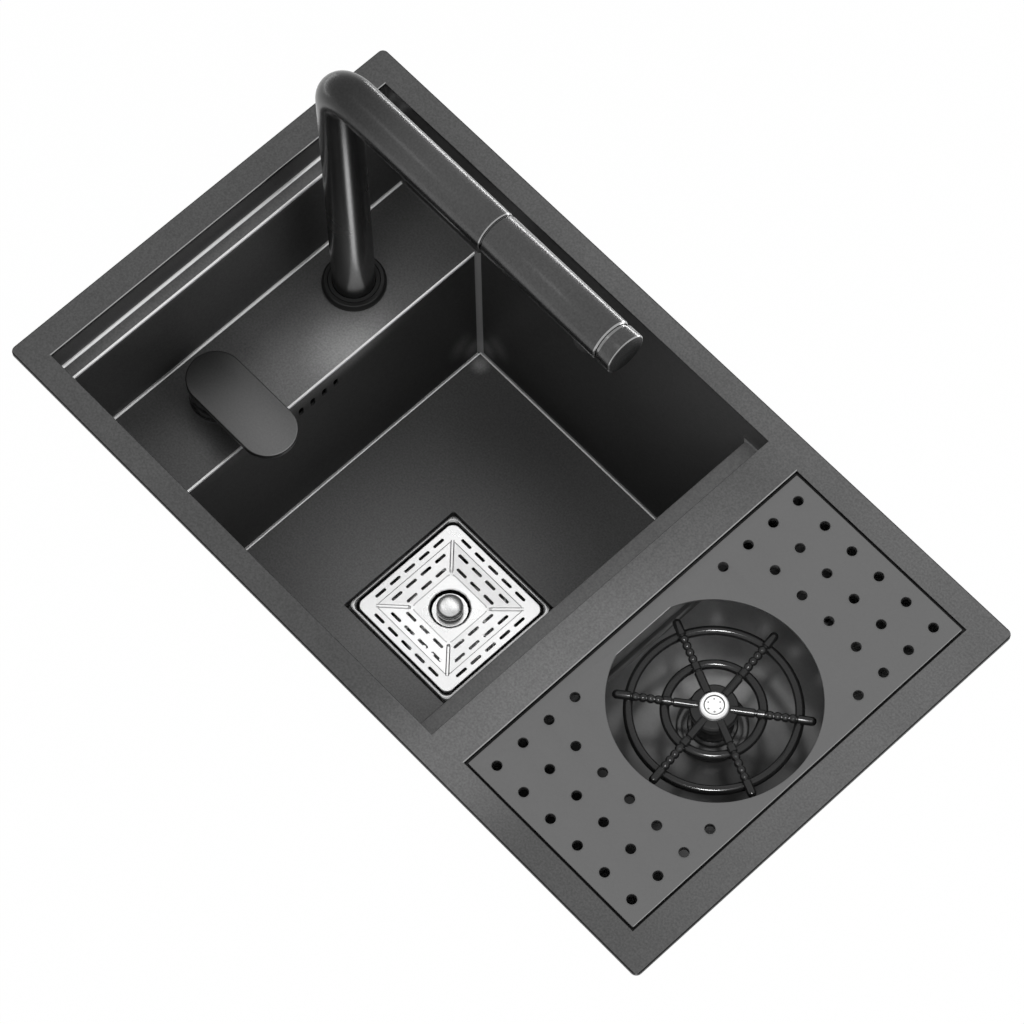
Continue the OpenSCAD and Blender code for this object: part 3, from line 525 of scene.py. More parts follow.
def plate(loops: Sequence[Loop], low: float, high: float, bevel: float) -> bpy.types.Mesh:
    """Makes a flat plate with holes and rounded edges.

    Args:
        loops: the outline and the holes.
        low: height of the underside.
        high: height of the top.
        bevel: radius of the rounded edges.

    Returns:
        The mesh, in metres.
    """
    curve = bpy.data.curves.new("plate", "CURVE")
    curve.dimensions = "2D"
    curve.fill_mode = "BOTH"
    for loop in loops:
        spline = curve.splines.new("POLY")
        spline.points.add(len(loop) - 1)
        for slot, point in zip(spline.points, loop):
            slot.co = (point[0], point[1], 0.0, 1.0)
        spline.use_cyclic_u = True
    curve.bevel_depth = bevel
    curve.bevel_resolution = 2
    curve.offset = -bevel
    curve.extrude = (high - low) / 2 - bevel
    flat = baked(bpy.data.objects.new("plate", curve))
    bpy.data.curves.remove(curve)
    bm = bmesh.new()
    bm.from_mesh(flat)
    bmesh.ops.translate(bm, verts=bm.verts, vec=(0, 0, (low + high) / 2))
    bmesh.ops.remove_doubles(bm, verts=bm.verts, dist=2e-3)
    bmesh.ops.recalc_face_normals(bm, faces=bm.faces)
    mesh = settled(bm)
    mesh.transform(Matrix.Scale(MM, 4))
    return mesh


def baked(holder: bpy.types.Object, *extra: bpy.types.Object) -> bpy.types.Mesh:
    """Evaluates an object with its modifiers, and removes it.

    Args:
        holder: the object to evaluate.
        extra: objects that its modifiers use, which are removed too.

    Returns:
        A plain mesh.
    """
    scene = bpy.context.scene.collection
    for each in (holder, *extra):
        if each.name not in scene.objects:
            scene.objects.link(each)
    bpy.context.view_layer.update()
    mesh = bpy.data.meshes.new_from_object(holder.evaluated_get(bpy.context.evaluated_depsgraph_get()))
    for each in (holder, *extra):
        bpy.data.objects.remove(each)
    return mesh


class Tree:
    """A Geometry Nodes tree in the making that puts copies of a mesh on points."""

    def __init__(self, name: str, **inputs: str) -> None:
        """Starts the tree with its inputs.

        Args:
            name: name of the tree.
            inputs: the kind of each named input beside Geometry and Material, with _ for each space.
        """
        self.group = bpy.data.node_groups.new(name, "GeometryNodeTree")
        self.ids: dict[str, str] = {}
        self.group.interface.new_socket("Geometry", in_out="OUTPUT", socket_type="NodeSocketGeometry")
        for key, kind in {"Geometry": "Geometry", "Material": "Material", **inputs}.items():
            item = self.group.interface.new_socket(
                key.replace("_", " "), in_out="INPUT", socket_type="NodeSocket" + kind)
            self.ids[key] = item.identifier
        self.entry = self.add("NodeGroupInput")

    def add(self, kind: str, inputs: dict | None = None) -> bpy.types.Node:
        """Adds a node."""
        return wired(self.group, kind, inputs)

    def given(self, name: str) -> Socket:
        """The socket of a named input."""
        return self.entry.outputs[name]

    def maths(self, operation: str, first: object, second: object) -> Socket:
        """Adds a Math node on two sockets or numbers and returns its result socket."""
        return maths(self.group, operation, first, second)

    def close(self, points: Socket, rotation: Socket | None = None) -> None:
        """Ends the tree with the copies, made real, in their material.

        Args:
            points: the points that carry the copies.
            rotation: turns of the copies.
        """
        inputs = {"Points": points, "Instance": self.given("Geometry")}
        if rotation is not None:
            inputs["Rotation"] = rotation
        copies = self.add("GeometryNodeInstanceOnPoints", inputs)
        real = self.add("GeometryNodeRealizeInstances", {0: copies.outputs[0]})
        paint = self.add("GeometryNodeSetMaterial", {
            "Geometry": real.outputs[0], "Material": self.given("Material")})
        self.add("NodeGroupOutput", {0: paint.outputs[0]})

    def grow(self, mesh: bpy.types.Mesh, **values: object) -> bpy.types.Mesh:
        """Runs the tree on a mesh.

        Args:
            mesh: the mesh that goes in, in metres.
            values: values of the named inputs, with _ for each space.

        Returns:
            The plain mesh that comes out.
        """
        holder = bpy.data.objects.new("grown", mesh)
        bpy.context.scene.collection.objects.link(holder)
        modifier = holder.modifiers.new("grow", "NODES")
        modifier.node_group = self.group
        for key, value in values.items():
            modifier[self.ids[key]] = value
        return baked(holder)


class Patterns:
    """The Geometry Nodes trees for pieces that repeat."""

    def __init__(self) -> None:
        """Builds the three trees."""
        self.round_axis = self._round_axis()
        self.along_line = self._along_line()
        self.drip_pattern = self._drip_pattern()

    @staticmethod
    def _round_axis() -> Tree:
        """Copies of a mesh round an upright axis."""
        tree = Tree("copies_round_axis", Count="Int", First_Angle="Float", Axis="Vector")
        spots = tree.add("GeometryNodeMeshLine", {
            "Count": tree.given("Count"), "Start Location": tree.given("Axis"), "Offset": (0, 0, 0)})
        index = tree.add("GeometryNodeInputIndex")
        share = tree.maths("DIVIDE", index.outputs[0], tree.given("Count"))
        turn = tree.maths("ADD", tree.maths("MULTIPLY", share, 2 * math.pi), tree.given("First Angle"))
        tree.close(spots.outputs[0], tree.add("ShaderNodeCombineXYZ", {"Z": turn}).outputs[0])
        return tree

    @staticmethod
    def _along_line() -> Tree:
        """Copies of a mesh along a line."""
        tree = Tree("copies_along_line", Count="Int", Start="Vector", Step="Vector")
        spots = tree.add("GeometryNodeMeshLine", {
            "Count": tree.given("Count"), "Start Location": tree.given("Start"),
            "Offset": tree.given("Step")})
        tree.close(spots.outputs[0])
        return tree

    @staticmethod
    def _drip_pattern() -> Tree:
        """Copies of a mesh in two mirrored groups, whose innermost row has only its end columns."""
        tree = Tree("drip_pattern", Columns="Int", Rows="Int", Pitch_X="Float", Pitch_Y="Float",
                    Middle_X="Float", Outer_Row="Float")
        columns, rows = tree.given("Columns"), tree.given("Rows")
        wide = tree.maths("MULTIPLY", tree.maths("SUBTRACT", columns, 1.0), tree.given("Pitch X"))
        deep = tree.maths("MULTIPLY", tree.maths("SUBTRACT", rows, 1.0), tree.given("Pitch Y"))
        grid = tree.add("GeometryNodeMeshGrid", {
            "Size X": wide, "Size Y": deep, "Vertices X": columns, "Vertices Y": rows})
        place = tree.add("GeometryNodeInputPosition")
        spot = tree.add("ShaderNodeSeparateXYZ", {0: place.outputs[0]}).outputs
        slack = 0.001
        half_wide, half_deep = (tree.maths("MULTIPLY", size, 0.5) for size in (wide, deep))
        inner = tree.maths("LESS_THAN", spot["Y"], tree.maths("SUBTRACT", slack, half_deep))
        away = tree.maths("ABSOLUTE", spot["X"], 0.0)
        middle = tree.maths("LESS_THAN", away, tree.maths("SUBTRACT", half_wide, slack))
        drop = tree.add("GeometryNodeDeleteGeometry", {
            "Geometry": grid.outputs[0], "Selection": tree.maths("MULTIPLY", inner, middle)})
        shift = tree.add("ShaderNodeCombineXYZ", {
            "X": tree.given("Middle X"), "Y": tree.maths("SUBTRACT", tree.given("Outer Row"), half_deep)})
        back = tree.add("GeometryNodeTransform", {
            "Geometry": drop.outputs[0], "Translation": shift.outputs[0]})
        front = tree.add("GeometryNodeTransform", {"Geometry": back.outputs[0], "Scale": (1, -1, 1)})
        both = tree.add("GeometryNodeJoinGeometry", {0: back.outputs[0]})
        tree.group.links.new(front.outputs[0], both.inputs[0])
        tree.close(both.outputs[0])
        return tree


def joined(*meshes: bpy.types.Mesh) -> bpy.types.Mesh:
    """Puts several meshes into one.

    Args:
        meshes: the meshes, which are removed.

    Returns:
        The joined mesh.
    """
    whole = bmesh.new()
    for each in meshes:
        whole.from_mesh(each)
        bpy.data.meshes.remove(each)
    return settled(whole)


def cut(mesh: bpy.types.Mesh, cutter: bpy.types.Mesh) -> bpy.types.Mesh:
    """Cuts one mesh out of another.

    Args:
        mesh: the mesh to cut.
        cutter: closed shapes to take away.

    Returns:
        The cut mesh.
    """
    holder = bpy.data.objects.new("whole", mesh)
    tool = bpy.data.objects.new("cutter", cutter)
    bpy.context.scene.collection.objects.link(tool)
    knife = holder.modifiers.new("cut", "BOOLEAN")
    knife.operation = "DIFFERENCE"
    knife.solver = "EXACT"
    knife.object = tool
    return baked(holder, tool)


def sheeted(upper: bpy.types.Mesh, thickness: float, knife: Shape) -> bpy.types.Mesh:
    """Gives a folded sheet its thickness and its holes.

    Args:
        upper: the sheet's upper side, in millimetres.
        thickness: thickness of the metal, which lies below it.
        knife: shapes to cut away.

    Returns:
        The sheet, in metres.
    """
    holder = bpy.data.objects.new("sheet", upper)
    wall = holder.modifiers.new("sheet", "SOLIDIFY")
    wall.thickness = thickness
    wall.offset = -1.0
    wall.use_even_offset = True
    holed = cut(baked(holder), knife.mesh(unit=1.0))
    holed.transform(Matrix.Scale(MM, 4))
    return holed


def paint_light_and_shade(
    mesh: bpy.types.Mesh, rule: Callable[[Vector, bpy.types.MeshPolygon], float], unit: float = MM
) -> None:
    """Sets each face's painted highlight, up to 1, and painted shade, down to -1.

    Args:
        mesh: the mesh.
        rule: gives the value, from the face's centre in millimetres and the face.
        unit: length of a millimetre in the mesh.
    """
    layer = mesh.attributes.get("painted_light_shade") or mesh.attributes.new("painted_light_shade", "FLOAT", "FACE")
    layer.data.foreach_set("value", [rule(face.center / unit, face) for face in mesh.polygons])


def dress(
    name: str, mesh: bpy.types.Mesh, finish: Finish, body: str, nodes: Sequence[str] = (), sharp: float = 32.0
) -> bpy.types.Object:
    """Puts a finished mesh in the scene.

    Args:
        name: name of the piece.
        mesh: its mesh, in metres, in place.
        finish: its finish.
        body: the body that it rides on.
        nodes: the CAD nodes that it stands for.
        sharp: angle in degrees from which an edge stays sharp.

    Returns:
        The object.
    """
    mesh.name = name
    mesh.materials.clear()
    mesh.materials.append(finish.material())
    mesh.polygons.foreach_set("material_index", [0] * len(mesh.polygons))
    mesh.shade_smooth()
    mesh.set_sharp_from_angle(angle=math.radians(sharp))
    mesh.update()
    piece = bpy.data.objects.new(name, mesh)
    bpy.context.scene.collection.objects.link(piece)
    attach(piece, body)
    if nodes:
        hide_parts(*nodes)
    LOG.info("%s: %d faces, rides on %s, stands for %s",
             name, len(mesh.polygons), body, ", ".join(nodes) or "-")
    return piece


def repaint(finish: Finish, *nodes: str) -> None:
    """Gives CAD nodes whose shape is right a finish.

    Args:
        finish: the finish.
        nodes: names of the nodes.
    """
    for name in nodes:
        piece = frame["nodes"][name]
        piece.data.materials.clear()
        piece.data.materials.append(finish.material())
        LOG.info("%s: keeps its CAD shape, %s", name, finish.name)


@dataclass(frozen=True)
class Lamp:
    """A rectangular lamp: place, target and size in metres, brightness with white as 1."""

    name: str
    place: Point
    size: Flat
    radiance: float
    target: Point = (0.0, 0.0, 0.0)
    mirrored: bool = True
    lights: bool = True


@dataclass
class Studio:
    """Camera, light, worktop and floor."""

    lamps: tuple[Lamp, ...] = (
        Lamp("key", (1.6, 0.7, 1.9), (1.6, 1.0), 4.0, mirrored=False),
        Lamp("fill", (0.75, -1.7, 1.7), (1.6, 1.0), 3.0, mirrored=False),
        Lamp("spout_gleam", (-0.74, -0.67, 2.18), (0.6, 0.3), 1.0, lights=False),
        Lamp("wire_gleam", (0.74, -0.6, 2.25), (0.4, 0.4), 85.0, target=(0.18, 0.0, 0.0), lights=False),
        Lamp("cover_gleam", (-0.95, 0.9, 1.6), (1.7, 1.7), 1.0, target=(-0.05, 0.0, -0.25), lights=False),
        Lamp("back_line", (-0.05, 0.42, 0.035), (0.7, 0.035), 16.0, target=(-0.1, 0.065, 0.145),
             lights=False),
        Lamp("left_line", (-0.52, 0.02, 0.05), (0.4, 0.02), 5.0, target=(-0.2, 0.065, 0.145), lights=False),
        Lamp("riser_gleam", (-0.12, 0.017, -0.146), (0.034, 0.155), 3.6, target=(-0.209, 0.062, -0.146),
             lights=False),
        Lamp("riser_foot", (-0.182, 0.048, -0.104), (0.022, 0.036), 0.6, target=(-0.19, 0.052, 0.0),
             lights=False),
    )

    target: Point = (0.01404, -0.00632, 0.003)
    right: Point = (0.67372, 0.73900, 0.0)
    up: Point = (-0.67225, 0.61286, 0.41533)
    back: Point = (0.30692, -0.27981, 0.90967)
    roll: float = -0.961
    distance: float = 2.67505
    lens: float = 156.797
    board_reach: float = 600.0
    board_thick: float = 30.0
    rim: Flat = (276.0, 155.0)
    cut_x: float = 263.0
    cut_y: float = 143.0
    floor_z: float = -334.0
    floor_reach: float = 6000.0
    sky: float = 0.7
    whiteness: float = 0.985

    def camera(self) -> None:
        """Sets the camera at the photograph's viewing angle."""
        turn = math.radians(self.roll)
        flat, up = Vector(self.right), Vector(self.up)
        right = flat * math.cos(turn) + up * math.sin(turn)
        top = up * math.cos(turn) - flat * math.sin(turn)
        back = Vector(self.back)
        matrix = Matrix((right, top, back)).transposed().to_4x4()
        matrix.translation = Vector(self.target) + back * self.distance
        data = bpy.data.cameras.new("camera")
        data.lens = self.lens
        data.sensor_width = 36.0
        data.sensor_fit = "HORIZONTAL"
        data.clip_end = 50.0
        camera = bpy.data.objects.new("camera", data)
        camera.matrix_world = matrix
        bpy.context.scene.collection.objects.link(camera)
        bpy.context.scene.camera = camera

    @staticmethod
    def _seen(tree: bpy.types.NodeTree) -> Socket:
        """Adds the share of rays that show the background: camera, glossy and transmission rays."""
        path = wired(tree, "ShaderNodeLightPath").outputs
        total = path["Is Camera Ray"]
        for name in ("Is Glossy Ray", "Is Transmission Ray"):
            total = maths(tree, "ADD", total, path[name], use_clamp=True)
        return total

    def world(self) -> None:
        """White where it shows or is mirrored, softer where it lights."""
        world = bpy.data.worlds.new("studio")
        bpy.context.scene.world = world
        world.use_nodes = True
        tree = world.node_tree
        tree.nodes.clear()
        level = wired(tree, "ShaderNodeMix", {0: self._seen(tree), 2: self.sky, 3: 1.0}, data_type="FLOAT")
        glow = wired(tree, "ShaderNodeBackground", {"Strength": level.outputs[0]})
        wired(tree, "ShaderNodeOutputWorld", {"Surface": glow.outputs[0]})

    @staticmethod
    def lamp(lamp: Lamp) -> None:
        """Adds a soft lamp that shines at the sink."""
        data = bpy.data.lights.new(lamp.name, "AREA")
        data.shape = "RECTANGLE"
        data.size, data.size_y = lamp.size
        data.energy = lamp.radiance * math.pi * lamp.size[0] * lamp.size[1]
        holder = bpy.data.objects.new(lamp.name, data)
        way = Vector(lamp.place) - Vector(lamp.target)
        holder.matrix_world = way.to_track_quat("Z", "Y").to_matrix().to_4x4()
        holder.location = lamp.place
        holder.visible_camera = False
        holder.visible_glossy = lamp.mirrored
        holder.visible_diffuse = lamp.lights
        bpy.context.scene.collection.objects.link(holder)

    @staticmethod
    def only(lamp: str, pieces: Sequence[str]) -> None:
        """Lets a lamp shine on some pieces alone.

        Args:
            lamp: name of the lamp.
            pieces: names of the pieces.
        """
        lit = bpy.data.collections.new(lamp + "_pieces")
        for name in pieces:
            lit.objects.link(bpy.data.objects[name])
        bpy.data.objects[lamp].light_linking.receiver_collection = lit

    def pale(self) -> bpy.types.Material:
        """White paint of the worktop and the floor, which keeps the sink's shadow."""
        material = bpy.data.materials.new("pale_stage")
        material.use_nodes = True
        tree = material.node_tree
        tree.nodes.clear()
        paint = wired(tree, "ShaderNodeBsdfDiffuse", {"Color": (0.9, 0.9, 0.9, 1.0)})
        glow = wired(tree, "ShaderNodeEmission")
        share = maths(tree, "MULTIPLY", self._seen(tree), self.whiteness)
        blend = wired(tree, "ShaderNodeMixShader", {0: share, 1: paint.outputs[0], 2: glow.outputs[0]})
        wired(tree, "ShaderNodeOutputMaterial", {"Surface": blend.outputs[0]})
        return material

    def stage(self) -> None:
        """Adds the worktop board with its cut-out and the floor below."""
        white = self.pale()
        (x, y), reach = self.rim, self.board_reach
        outer = rounded(-x - reach, -y - reach, x + reach, y + reach, 20.0, 0.0)
        inner = rounded(-self.cut_x, -self.cut_y, self.cut_x, self.cut_y, 12.0, 0.0)
        board = bpy.data.objects.new("worktop", plate([outer, inner], -self.board_thick, 0.0, 1.0))
        ground, wide = Shape(), self.floor_reach
        ground.box((-wide, -wide, self.floor_z - 10.0), (wide, wide, self.floor_z))
        floor = bpy.data.objects.new("floor", ground.mesh())
        for each in (board, floor):
            each.data.materials.clear()
            each.data.materials.append(white)
            bpy.context.scene.collection.objects.link(each)

    def build(self) -> None:
        """Builds the whole studio."""
        bpy.context.scene.view_settings.view_transform = "Standard"
        self.camera()
        self.world()
        for lamp in self.lamps:
            self.lamp(lamp)
        self.stage()
        LOG.info("studio: camera, world, %d lamps, worktop and floor", len(self.lamps))


@dataclass
class Sink:
    """The sink's sheet metal: rim, bowl and trough."""

    half_x: float = 276.0
    half_y: float = 155.0
    rim_t: float = 3.0
    corner_r: float = 4.0
    edge_r: float = 0.7
    bowl_x0: float = -256.0
    bowl_x1: float = 86.0
    bowl_y: float = 138.5
    recess_x0: float = 112.0
    recess_x1: float = 254.5
    recess_y: float = 137.0
    bead: tuple[float, float, float] = (10.0, 12.0, 0.6)
    crease_x: float = 101.0
    strip_drop: float = 0.55
    sheet_t: float = 1.5
    ledge_z: float = -21.5
    lower_x0: float = -245.0
    lower_x1: float = 68.5
    platform_z: float = -109.0
    platform_x: float = -173.5
    floor_z: float = -252.0
    fold_r: float = 3.0
    drain: Flat = (-50.0, -4.5)
    pan_half: float = 49.0
    pan_z: float = -260.0
    drain_hole_r: float = 40.5
    tap_hole: Point = (-211.5, 65.5, 17.0)
    mixer_hole: Point = (-211.0, -52.0, 15.5)
    slot_ys: tuple[float, ...] = (-16.0, -6.0, 4.0, 14.0)
    slot_size: Flat = (4.0, 9.0)
    slot_top: float = -122.0
    trough: tuple[float, float, float] = (116.5, 250.0, 132.5)
    trough_z: float = -43.0
    shelf: tuple[float, float, float] = (108.0, 258.5, 141.0)
    shank_hole: Point = (184.25, -2.5, 11.5)
    outlet_hole: Point = (184.25, 104.5, 16.5)

    def _height(self, x: float, y: float) -> float:
        """Height of the rim's top: the strips beside the tray fall softly from a crease to the recess."""
        side = self.recess_y
        if abs(y) <= side and x <= self.recess_x1:
            return self.rim_t
        edge = self.half_y if abs(y) > side else self.half_x
        across = min(1.0, max(0.0, (abs(y) - side) / (edge - side))) if abs(y) > side else 0.0
        if x > self.recess_x1:
            across = max(across, (x - self.recess_x1) / (self.half_x - self.recess_x1))
        start = self.recess_x0 + (self.crease_x - self.recess_x0) * across
        along = min(1.0, max(0.0, (x - start) / 34.0))
        soft = along * along * (3 - 2 * along)
        return self.rim_t - self.strip_drop * soft * (1 - across)

    @staticmethod
    def _side(low: Flat, high: Flat, xs: Sequence[float]) -> list[Flat]:
        """Points of a rectangle from low to high, with extra points at xs on its long sides."""
        (x0, y0), (x1, y1) = low, high
        inside = [x for x in sorted(xs) if x0 + 0.5 < x < x1 - 0.5]
        return ([(x0, y0)] + [(x, y0) for x in inside] + [(x1, y0), (x1, y1)]
                + [(x, y1) for x in reversed(inside)] + [(x0, y1)])

    def _outline(self, inset: float, xs: Sequence[float]) -> list[Flat]:
        """The rim's outline, set in by a distance, with extra points at xs on its long sides."""
        loop = rounded(-self.half_x + inset, -self.half_y + inset, self.half_x - inset, self.half_y - inset,
                       self.corner_r - inset, 0.0, steps=6)
        result: list[Flat] = []
        for (x, y, _), (following, _, _) in zip(loop, loop[1:] + loop[:1]):
            result.append((x, y))
            if abs(following - x) > 100:
                inside = sorted((each for each in xs if each < self.half_x - 8), reverse=following < x)
                result += [(each, y) for each in inside]
        return result

    def _fill(self, shape: Shape, loops: Sequence[Sequence[Flat]], extra: Sequence[Flat],
              height: Callable[[float, float], float], hole: Callable[[float, float], bool]) -> None:
        """Fills the area inside the first loop with faces.

        Args:
            shape: the shape that gets them.
            loops: the outline, and the lines that the faces follow.
            extra: more points for their corners.
            height: the height of a point.
            hole: whether a point lies where no faces go.
        """
        edges: list[tuple[int, int]] = []
        for loop in loops:
            start = len(edges)
            edges += [(start + i, start + (i + 1) % len(loop)) for i in range(len(loop))]
        seeds = [Vector(point) for loop in (*loops, extra) for point in loop]
        verts, _, faces, _, _, _ = delaunay_2d_cdt(seeds, edges, [], 0, 1e-5)
        made = shape.ring([(v.x, v.y, height(v.x, v.y)) for v in verts])
        for face in faces:
            x = sum(verts[i].x for i in face) / len(face)
            y = sum(verts[i].y for i in face) / len(face)
            if not hole(x, y) and self._within(x, y, loops[0]):
                shape.bm.faces.new([made[i] for i in face])

    def rim(self) -> None:
        """Rim plate with rounded edges, the creases beside the tray, two openings and the sealing bead."""
        shape = Shape()
        xs = [self.crease_x + 6.0 * i for i in range(10)] + [self.recess_x0 + 20 * i for i in range(4, 9)]
        openings = (
            (self.bowl_x0, self.bowl_x1, self.bowl_y), (self.recess_x0, self.recess_x1, self.recess_y),
        )
        r = self.edge_r
        arc = [(r - r * math.cos(t), r * math.sin(t) - r) for t in (math.radians(30 * i) for i in range(3))]

        def in_opening(x: float, y: float, grow: float) -> bool:
            """Whether a point lies in an opening grown by a distance."""
            return any(x0 - grow < x < x1 + grow and abs(y) < side + grow for x0, x1, side in openings)

        outer = [[(x, y, 0.0) for x, y in self._outline(0.0, xs)]]
        outer += [[(x, y, self.rim_t + up) for x, y in self._outline(inset, xs)] for inset, up in arc]
        edge_loops = [(outer, self._outline(r, xs))]
        for x0, x1, side in openings:
            top = self._side((x0 - r, -side - r), (x1 + r, side + r), xs)
            walls = [[(x, y, 0.0) for x, y in self._side((x0, -side), (x1, side), xs)]]
            for grow, up in arc:
                loop = self._side((x0 - grow, -side - grow), (x1 + grow, side + grow), xs)
                walls.append([(*spot, self._height(*above) + up) for spot, above in zip(loop, top)])
            edge_loops.append((walls, top))
        extra = [(x, s * y) for x in xs[1:] for y in (143.0, 149.0) for s in (-1, 1) if x < self.recess_x1]
        self._fill(shape, [top for _, top in edge_loops], extra, self._height,
                   lambda x, y: in_opening(x, y, r))
        for walls, top in edge_loops:
            shape.skin(walls + [[(x, y, self._height(x, y)) for x, y in top]])
        near, far, deep = self.bead
        signs = ((-1, -1), (1, -1), (1, 1), (-1, 1))
        groove = [[(i * (self.half_x - m), j * (self.half_y - m)) for i, j in signs] for m in (near, far)]
        shape.skin([[(x, y, z) for x, y in groove[side]]
                    for side, z in ((0, 0.0), (0, deep), (1, deep), (1, 0.0))])
        base = [[(x, y) for x, y, _ in walls[0]] for walls, _ in edge_loops] + groove
        self._fill(shape, base, [], lambda x, y: 0.0, lambda x, y: in_opening(x, y, 0.0) or (
            self._within(x, y, groove[0]) and not self._within(x, y, groove[1])))
        bmesh.ops.remove_doubles(shape.bm, verts=shape.bm.verts, dist=1e-3)

        def painted_shade(c: Vector, _: bpy.types.MeshPolygon) -> float:
            """Painted highlights on the folds at the openings' tap ends, painted shade along the outer edge.
            """
            tap_end = abs(c.x - self.bowl_x0) < r + 0.2 and abs(c.y) < self.bowl_y
            recess_end = abs(c.x - self.recess_x0) < r + 0.2 and abs(c.y) < self.recess_y
            if (tap_end or recess_end) and 2.0 < c.z < self.rim_t - 0.02:
                return 1.0
            edge = abs(c.x) > self.half_x - r - 0.05 or abs(c.y) > self.half_y - r - 0.05
            return -0.85 if edge and c.z > 0.1 else 0.0

        mesh = shape.mesh()
        paint_light_and_shade(mesh, painted_shade)
        dress("rim_sheet", mesh, RIM_STEEL, "sink", ["rim_plate"], sharp=24.0)

    @staticmethod
    def _within(x: float, y: float, loop: Sequence[Flat]) -> bool:
        """Whether a point lies inside a convex loop."""
        for (ax, ay), (bx, by) in zip(loop, list(loop[1:]) + [loop[0]]):
            if (bx - ax) * (y - ay) - (by - ay) * (x - ax) < -1e-6:
                return False
        return True

    def bowl(self) -> None:
        """Bowl with its ledges, platform, floor and drain recess, folded from one sheet."""
        profile = [
            (self.bowl_x0, 0.0), (self.bowl_x0, self.ledge_z), (self.lower_x0, self.ledge_z),
            (self.lower_x0, self.platform_z), (self.platform_x, self.platform_z),
            (self.platform_x, self.floor_z), (self.lower_x1, self.floor_z), (self.lower_x1, self.ledge_z),
            (self.bowl_x1, self.ledge_z), (self.bowl_x1, 0.0),
        ]
        convex, floor_strip, deep_walls = (2, 4, 7), 5, (4, 6)
        bm = bmesh.new()
        weight = bm.edges.layers.float.new("bevel_weight_edge")
        front = [bm.verts.new((x, -self.bowl_y, z)) for x, z in profile]
        back = [bm.verts.new((x, self.bowl_y, z)) for x, z in profile]
        bm.faces.new(front)
        bm.faces.new(list(reversed(back)))
        for i in range(len(profile) - 1):
            if i != floor_strip:
                bm.faces.new([front[i + 1], front[i], back[i], back[i + 1]])
        dx, dy = self.drain
        h = self.pan_half
        corners = [(dx - h, dy - h), (dx + h, dy - h), (dx + h, dy + h), (dx - h, dy + h)]
        rim = [bm.verts.new((x, y, self.floor_z)) for x, y in corners]
        low = [bm.verts.new((x, y, self.pan_z)) for x, y in corners]
        floor = [front[5], front[6], back[6], back[5]]
        for i in range(4):
            j = (i + 1) % 4
            bm.faces.new([floor[i], floor[j], rim[j], rim[i]])
            bm.faces.new([rim[i], rim[j], low[j], low[i]])
        bm.faces.new(low)
        bm.edges.ensure_lookup_table()

        def weigh(a: bmesh.types.BMVert, b: bmesh.types.BMVert, value: float) -> None:
            """Sets the bevel weight of the edge between two vertices."""
            edge = bm.edges.get((a, b))
            if edge is not None:
                edge[weight] = value

        for i in range(1, len(profile) - 1):
            weigh(front[i], back[i], 0.5 if i in convex else 0.55)
        for row in (front, back):
            for i in range(len(profile) - 1):
                upright = profile[i][0] == profile[i + 1][0]
                weigh(row[i], row[i + 1], (1.0 if i in deep_walls else 0.4) if upright else 0.5)
        for i in range(4):
            weigh(rim[i], rim[(i + 1) % 4], 0.3)
            weigh(low[i], low[(i + 1) % 4], 0.4)
            weigh(rim[i], low[i], 0.6)
        bmesh.ops.recalc_face_normals(bm, faces=bm.faces)
        floor_face = next(f for f in bm.faces if all(abs(v.co.z - self.pan_z) < 1e-6 for v in f.verts))
        if floor_face.normal.z < 0:
            bmesh.ops.reverse_faces(bm, faces=bm.faces)
        holder = bpy.data.objects.new("bowl", settled(bm))
        bends = holder.modifiers.new("folds", "BEVEL")
        bends.limit_method = "WEIGHT"
        bends.width = self.fold_r
        bends.segments = 4
        bends.use_clamp_overlap = True
        folded = baked(holder)
        paint_light_and_shade(folded, self._fold_highlights, unit=1.0)
        knife = Shape()
        for x, y, radius in (self.tap_hole, self.mixer_hole):
            knife.loft([circle(x, y, radius, z, 48) for z in (self.platform_z - 5, self.platform_z + 5)])
        knife.loft([circle(dx, dy, self.drain_hole_r, z, 64) for z in (self.pan_z - 5, self.pan_z + 5)])
        width, tall = self.slot_size
        for y in self.slot_ys:
            loop = rounded(y - width / 2, self.slot_top - tall, y + width / 2, self.slot_top,
                           width / 2 - 0.01, 0.0)
            knife.loft([[(x, a, b) for a, b, _ in loop] for x in (self.platform_x - 5, self.platform_x + 5)])
        dress("bowl_sheet", sheeted(folded, self.sheet_t, knife), BOWL_STEEL, "sink", [
            "front_wall", "back_wall", "tap_upper_wall", "tap_ledge", "tap_lower_wall", "tap_platform",
            "bowl_tap_wall", "far_upper_wall", "far_ledge", "far_lower_wall", "bowl_floor", "drain_pan",
        ], sharp=28.0)

    def _fold_highlights(self, c: Vector, face: bpy.types.MeshPolygon) -> float:
        """Painted highlights on the bowl's folds: across the tap end, and at the back wall's foot and corner.
        """
        n = face.normal
        reach = self.fold_r * 0.6
        at_corner = abs(c.x - self.platform_x) < self.fold_r and abs(c.y - self.bowl_y) < self.fold_r
        if at_corner and abs(n.x) > 0.12 and abs(n.y) > 0.12 and abs(n.z) < 0.1:
            return 0.5
        at_back = abs(c.y - self.bowl_y) < reach and abs(c.z - self.floor_z) < reach
        if at_back and 0.12 < abs(n.y) < 0.99 and 0.12 < abs(n.z):
            return 0.55
        value = 0.0
        if abs(n.y) < 0.15 and 0.12 < abs(n.x) < 0.99 and abs(n.z) > 0.12 and face.area < 1500:
            for x, z, share in (
                (self.bowl_x0, self.ledge_z, 0.9), (self.lower_x0, self.ledge_z, 1.0),
                (self.lower_x0, self.platform_z, 0.8), (self.platform_x, self.platform_z, 1.0),
                (self.platform_x, self.floor_z, 1.0),
            ):
                if abs(c.x - x) < reach and abs(c.z - z) < reach:
                    value = share
        return value

